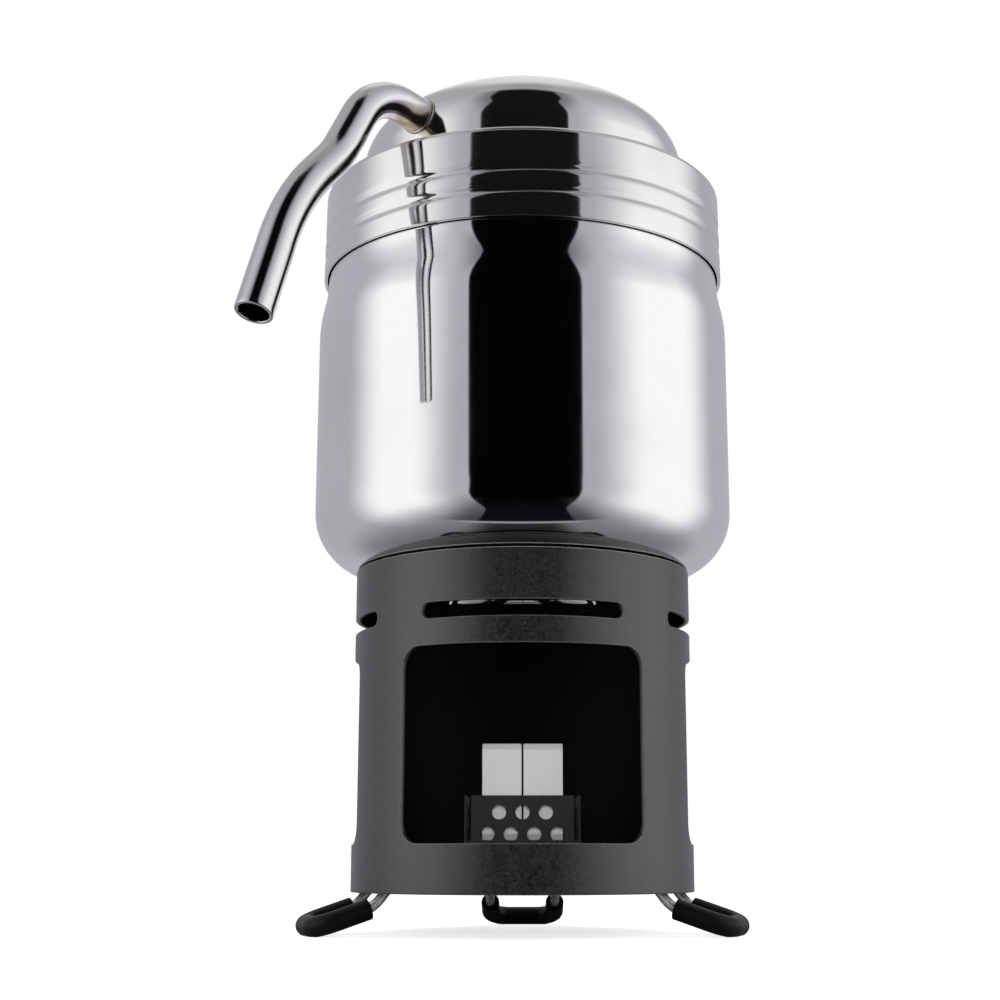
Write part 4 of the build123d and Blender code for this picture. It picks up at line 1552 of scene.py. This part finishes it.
@dataclass
class Studio:
    """Plain soft light, a white floor and the camera.

    An Edge holds the two ends of a soft edge: the mask is 0 at the first and 1 at the second.
    """

    camera_back: float = 379.2
    camera_height: float = 16.6
    pitch: float = 12.15
    lens: float = 59.58
    shift: float = -0.0225
    box_level: float = 1.1
    back: Colour = (0.47, 0.46295, 0.5076)
    top_level: float = 0.44
    top_middle: float = 0.36
    behind_level: float = 0.8
    shade_tone: Colour = (0.10, 0.10, 0.11)
    card_tone: Colour = (0.001, 0.001, 0.0015)
    card_middle: float = 0.028
    card_half_width: float = 0.31
    card_widening: float = 0.185
    card_narrowing: float = 0.11
    left_box: tuple[Edge, Edge] = ((-112, -80), (-33, -64))
    right_box: tuple[Edge, Edge] = ((36, 74), (130, 98))
    # The table, strips and line are seen only in mirrors: a painted reflection. The table's fade is partly painted
    # shade round the part.
    table: Edge = (0.216, 0.009)
    table_tone: Colour = (0.30, 0.30, 0.31)
    far_strip: tuple[Edge, Edge] = ((0.060, 0.066), (0.090, 0.050))
    # Painted shadow of the stand, ahead of it.
    stand_shadow_strip: tuple[Edge, Edge] = ((0.0585, 0.0555), (0.046, 0.018))
    strip_tone: Colour = (0.01, 0.01, 0.013)
    # Painted light line between the strips.
    painted_light_line: tuple[Edge, Edge, Edge] = ((0.0555, 0.0575), (0.064, 0.0605), (0.062, 0.03))
    painted_light_tone: Colour = (0.62, 0.62, 0.63)
    floor_size: float = 4.0
    floor_tone: Colour = (0.82, 0.82, 0.82)
    floor_glow: float = 0.72
    lamps: tuple[tuple[str, Place, Place, float, float], ...] = (
        ("left_soft_lamp", (-0.9, -0.5, 0.7), (0.0, 0.0, 0.1), 0.8, 2.5),
        ("right_soft_lamp", (0.9, -0.5, 0.7), (0.0, 0.0, 0.1), 0.8, 4.2),
        ("front_soft_lamp", (0.0, -1.3, 0.16), (0.0, 0.0, 0.05), 0.5, 9.5),
    )

    def world(self) -> None:
        """Lights the scene by direction: a soft box at each side, a dark card in front, and a pale back and top.

        With f the direction's part towards the front, s its part sideways and h its part upwards, the dark card is
        where f > 0.19 and |s - 0.028| < w. The half width w grows smoothly from 0.31 at f = 0.55 to 0.495 at f = 0.85,
        and is 0.11 less high up where f is small. Beside the card a soft shade lies high up and low down.
        A box is a range of the azimuth atan2(s, f) with soft edges, which fades upwards and downwards. The top is
        darkest in its middle, and a glow lies high up behind.
        """
        world = bpy.data.worlds.new("soft_studio")
        bpy.context.scene.world = world
        world.use_nodes = True
        world.node_tree.nodes.clear()
        tree = Tree(world.node_tree)
        side, back, rise = tree.split(tree.node("ShaderNodeTexCoord").outputs["Generated"])
        front = tree.product(back, -1.0)
        off_centre = tree.math("ABSOLUTE", tree.math("SUBTRACT", side, self.card_middle))
        width = tree.math("MULTIPLY_ADD", tree.smooth(front, 0.55, 0.85), self.card_widening, self.card_half_width)
        narrowed = tree.masked((front, (0.48, 0.16)), (rise, (0.0, 0.2)))
        width = tree.math("MULTIPLY_ADD", narrowed, -self.card_narrowing, width)
        card = tree.math("SUBTRACT", width, off_centre)
        dark = tree.masked((card, (-0.006, 0.006)), (front, (0.13, 0.25)))
        azimuth = tree.product(tree.math("ARCTAN2", side, front), 180 / math.pi)
        left, right = (tree.masked(*((azimuth, edge) for edge in box)) for box in (self.left_box, self.right_box))
        faded = tree.masked((rise, (0.95, 0.38)), (rise, (-1.05, -0.3)))
        faded = tree.product(faded, tree.math("MULTIPLY_ADD", tree.smooth(rise, 0.52, 0.38), 0.30, 0.70))
        boxes = tree.product(tree.math("ADD", left, right), faded)
        plain = tree.mix(boxes, self.back, (self.box_level,) * 3)
        overhead = tree.masked((off_centre, (0.62, 0.34)), (front, (0.20, 0.12)), (rise, (0.45, 0.7)))
        top = tree.mix(tree.smooth(off_centre, 0.02, 0.26), (self.top_middle,) * 3, (self.top_level,) * 3)
        behind = tree.masked((rise, (0.40, 0.48)), (off_centre, (0.34, 0.1)), (front, (-0.05, -0.4)))
        topped = tree.mix(behind, tree.mix(overhead, plain, top), (self.behind_level,) * 3)
        high = tree.masked((card, (-0.24, 0.0)), (rise, (0.42, 0.75)), (front, (0.12, 0.22)))
        low = tree.masked((card, (-0.5, 0.0)), (rise, (-0.3, -0.75)))
        shaded = tree.mix(tree.product(tree.math("ADD", high, low), 0.72), topped, self.shade_tone)
        studio = tree.use("ShaderNodeBackground", {"Color": tree.mix(dark, shaded, self.card_tone)})
        white = tree.use("ShaderNodeBackground", {"Color": (1.0, 1.0, 1.0)})
        seen = tree.node("ShaderNodeLightPath").outputs["Is Camera Ray"]
        whole = tree.use("ShaderNodeMixShader", {"Fac": seen, 1: studio, 2: white})
        tree.feed(tree.node("ShaderNodeOutputWorld").inputs["Surface"], whole)

    def floor(self) -> None:
        """Lays a white floor, which mirrors see as a small round grey table: a painted reflection.

        The table fades out with the distance from the axis: partly painted shade round the part, on a table that the
        lamps also light. In front of the part it is black, with a pale line
        across: the far and the close strip, and between them the line, are bands of the distance ahead, with soft
        ends to the sides. The close strip is a painted shadow of the stand, and the line a painted light line.
        """
        size = self.floor_size
        mesh = bpy.data.meshes.new("floor")
        mesh.from_pydata([(-size, -size, 0), (size, -size, 0), (size, size, 0), (-size, size, 0)], [], [(0, 1, 2, 3)])
        floor = linked("floor", mesh)
        material = bpy.data.materials.new("white_floor")
        material.use_nodes = True
        material.node_tree.nodes.clear()
        tree = Tree(material.node_tree)
        path = tree.node("ShaderNodeLightPath")
        glow = tree.product(path.outputs["Is Camera Ray"], self.floor_glow)
        shine = tree.use("ShaderNodeEmission", {"Color": (1.0, 1.0, 1.0), "Strength": glow})
        paint = tree.use("ShaderNodeBsdfDiffuse", {"Color": self.floor_tone})
        lit = tree.use("ShaderNodeAddShader", {0: paint, 1: shine})
        centred = tree.about_axis(tree.node("ShaderNodeTexCoord").outputs["Object"])
        aside, back, _ = tree.split(centred)
        away = tree.use("ShaderNodeVectorMath", {0: centred}, "Value", operation="LENGTH")
        ahead, aside = tree.product(back, -1.0), tree.math("ABSOLUTE", aside)
        # The close strip is a painted shadow of the stand; the line is a painted light line.
        far, stand_shadow = (tree.masked((ahead, a), (aside, b)) for a, b in (self.far_strip, self.stand_shadow_strip))
        start, end, ends = self.painted_light_line
        light_line = tree.masked((ahead, start), (ahead, end), (aside, ends))
        pale = tree.mix(light_line, self.table_tone, self.painted_light_tone)
        tone = tree.mix(tree.math("MAXIMUM", far, stand_shadow), pale, self.strip_tone)
        table = tree.use("ShaderNodeBsdfDiffuse", {"Color": tone})
        clear = tree.use("ShaderNodeBsdfTransparent", {})
        mirrored = tree.use("ShaderNodeMixShader", {"Fac": tree.smooth(away, *self.table), 1: clear, 2: table})
        whole = tree.use("ShaderNodeMixShader", {"Fac": path.outputs["Is Glossy Ray"], 1: lit, 2: mirrored})
        tree.feed(tree.node("ShaderNodeOutputMaterial").inputs["Surface"], whole)
        floor.data.materials.append(material)

    def lamp(self, name: str, place: Place, aim: Place, size: float, power: float) -> None:
        """Adds a soft lamp that lights matt surfaces and doesn't show in mirrors.

        Args:
            name: the lamp's name.
            place: where it hangs, in metres.
            aim: the point it faces.
            size: its side length.
            power: its power in watts.
        """
        light = bpy.data.lights.new(name, "AREA")
        light.energy = power
        light.size = size
        lamp = linked(name, light)
        lamp.location = place
        way = np.array(aim) - np.array(place)
        lamp.rotation_euler = (math.atan2(math.hypot(way[0], way[1]), -way[2]), 0.0, math.atan2(-way[0], way[1]))
        lamp.visible_glossy = False
        lamp.visible_camera = False

    def camera(self) -> None:
        """Sets the camera at the photograph's angle."""
        data = bpy.data.cameras.new("camera")
        data.lens = self.lens
        data.sensor_width = 36.0
        data.shift_x = self.shift
        data.clip_start = 0.01
        camera = linked("camera", data)
        camera.location = (AXIS_X * MM, (AXIS_Y - self.camera_back) * MM, self.camera_height * MM)
        camera.rotation_euler = (math.radians(90 + self.pitch), 0.0, 0.0)
        bpy.context.scene.camera = camera

    def build(self) -> None:
        """Sets the whole studio."""
        self.world()
        self.floor()
        for lamp in self.lamps:
            self.lamp(*lamp)
        self.camera()
        bpy.context.scene.view_settings.view_transform = "Standard"


# ---------------------------------------------------------------- main


def main() -> None:
    """Loads the frame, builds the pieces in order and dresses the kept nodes."""
    logging.basicConfig(level=logging.INFO, format="%(name)s: %(message)s")
    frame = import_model()
    nodes = frame["nodes"]
    mirror = PolishedSteel().build()
    lid_mirror = PolishedSteel(
        "lid_steel", (0.825, 0.812, 0.81), roughness=0.05, ring_pitch=3600.0, metal=0.994
    ).build()
    satin = SatinSteel().build()
    weld_steel = PolishedSteel("weld_steel", (0.56, 0.52, 0.48), roughness=0.16, ring_roughness=0.08).build()
    brass = SatinSteel("turned_brass", (0.72, 0.56, 0.30), roughness=0.16, ring_pitch=2400.0).build()
    coat = StandCoat().build()
    tray_coat = PlainGrain("tray_coat", (0.016, 0.016, 0.018), (0.026, 0.026, 0.028), 0.42, 3000.0, 0.000012).build()
    fuel = PlainGrain("pressed_fuel", (0.655, 0.665, 0.665), (0.725, 0.73, 0.725), 0.75, 1500.0, 0.00003, 160.0).build()
    seal = PlainGrain("seal_rubber", (0.52, 0.50, 0.47), (0.60, 0.58, 0.55), 0.5, 2600.0, 0.00001).build()
    Stand().build(coat)
    Legs().build(BrightWire().build(), SleeveRubber().build())
    Burner().build(nodes, tray_coat, fuel)
    Pot().build(mirror)
    lid = Lid()
    lid.build(lid_mirror)
    Spout(lid).build(SpoutSteel().build(), weld_steel)
    kept = {
        coat: ("base_plate",),
        satin: ("leg_bracket_left", "leg_bracket_right", "leg_bracket_rear", "bracket_rivets", "coffee_funnel",
                "coffee_strainer", "filter_plate", "valve_spring"),
        seal: ("lid_gasket",),
        brass: ("valve_body", "valve_nut", "valve_pin"),
    }
    for material, names in kept.items():
        for name in names:
            dress(nodes[name], material)
            LOG.info("%s: kept, in %s", name, material.name)
    Studio().build()


if __name__ == "__main__":
    main()
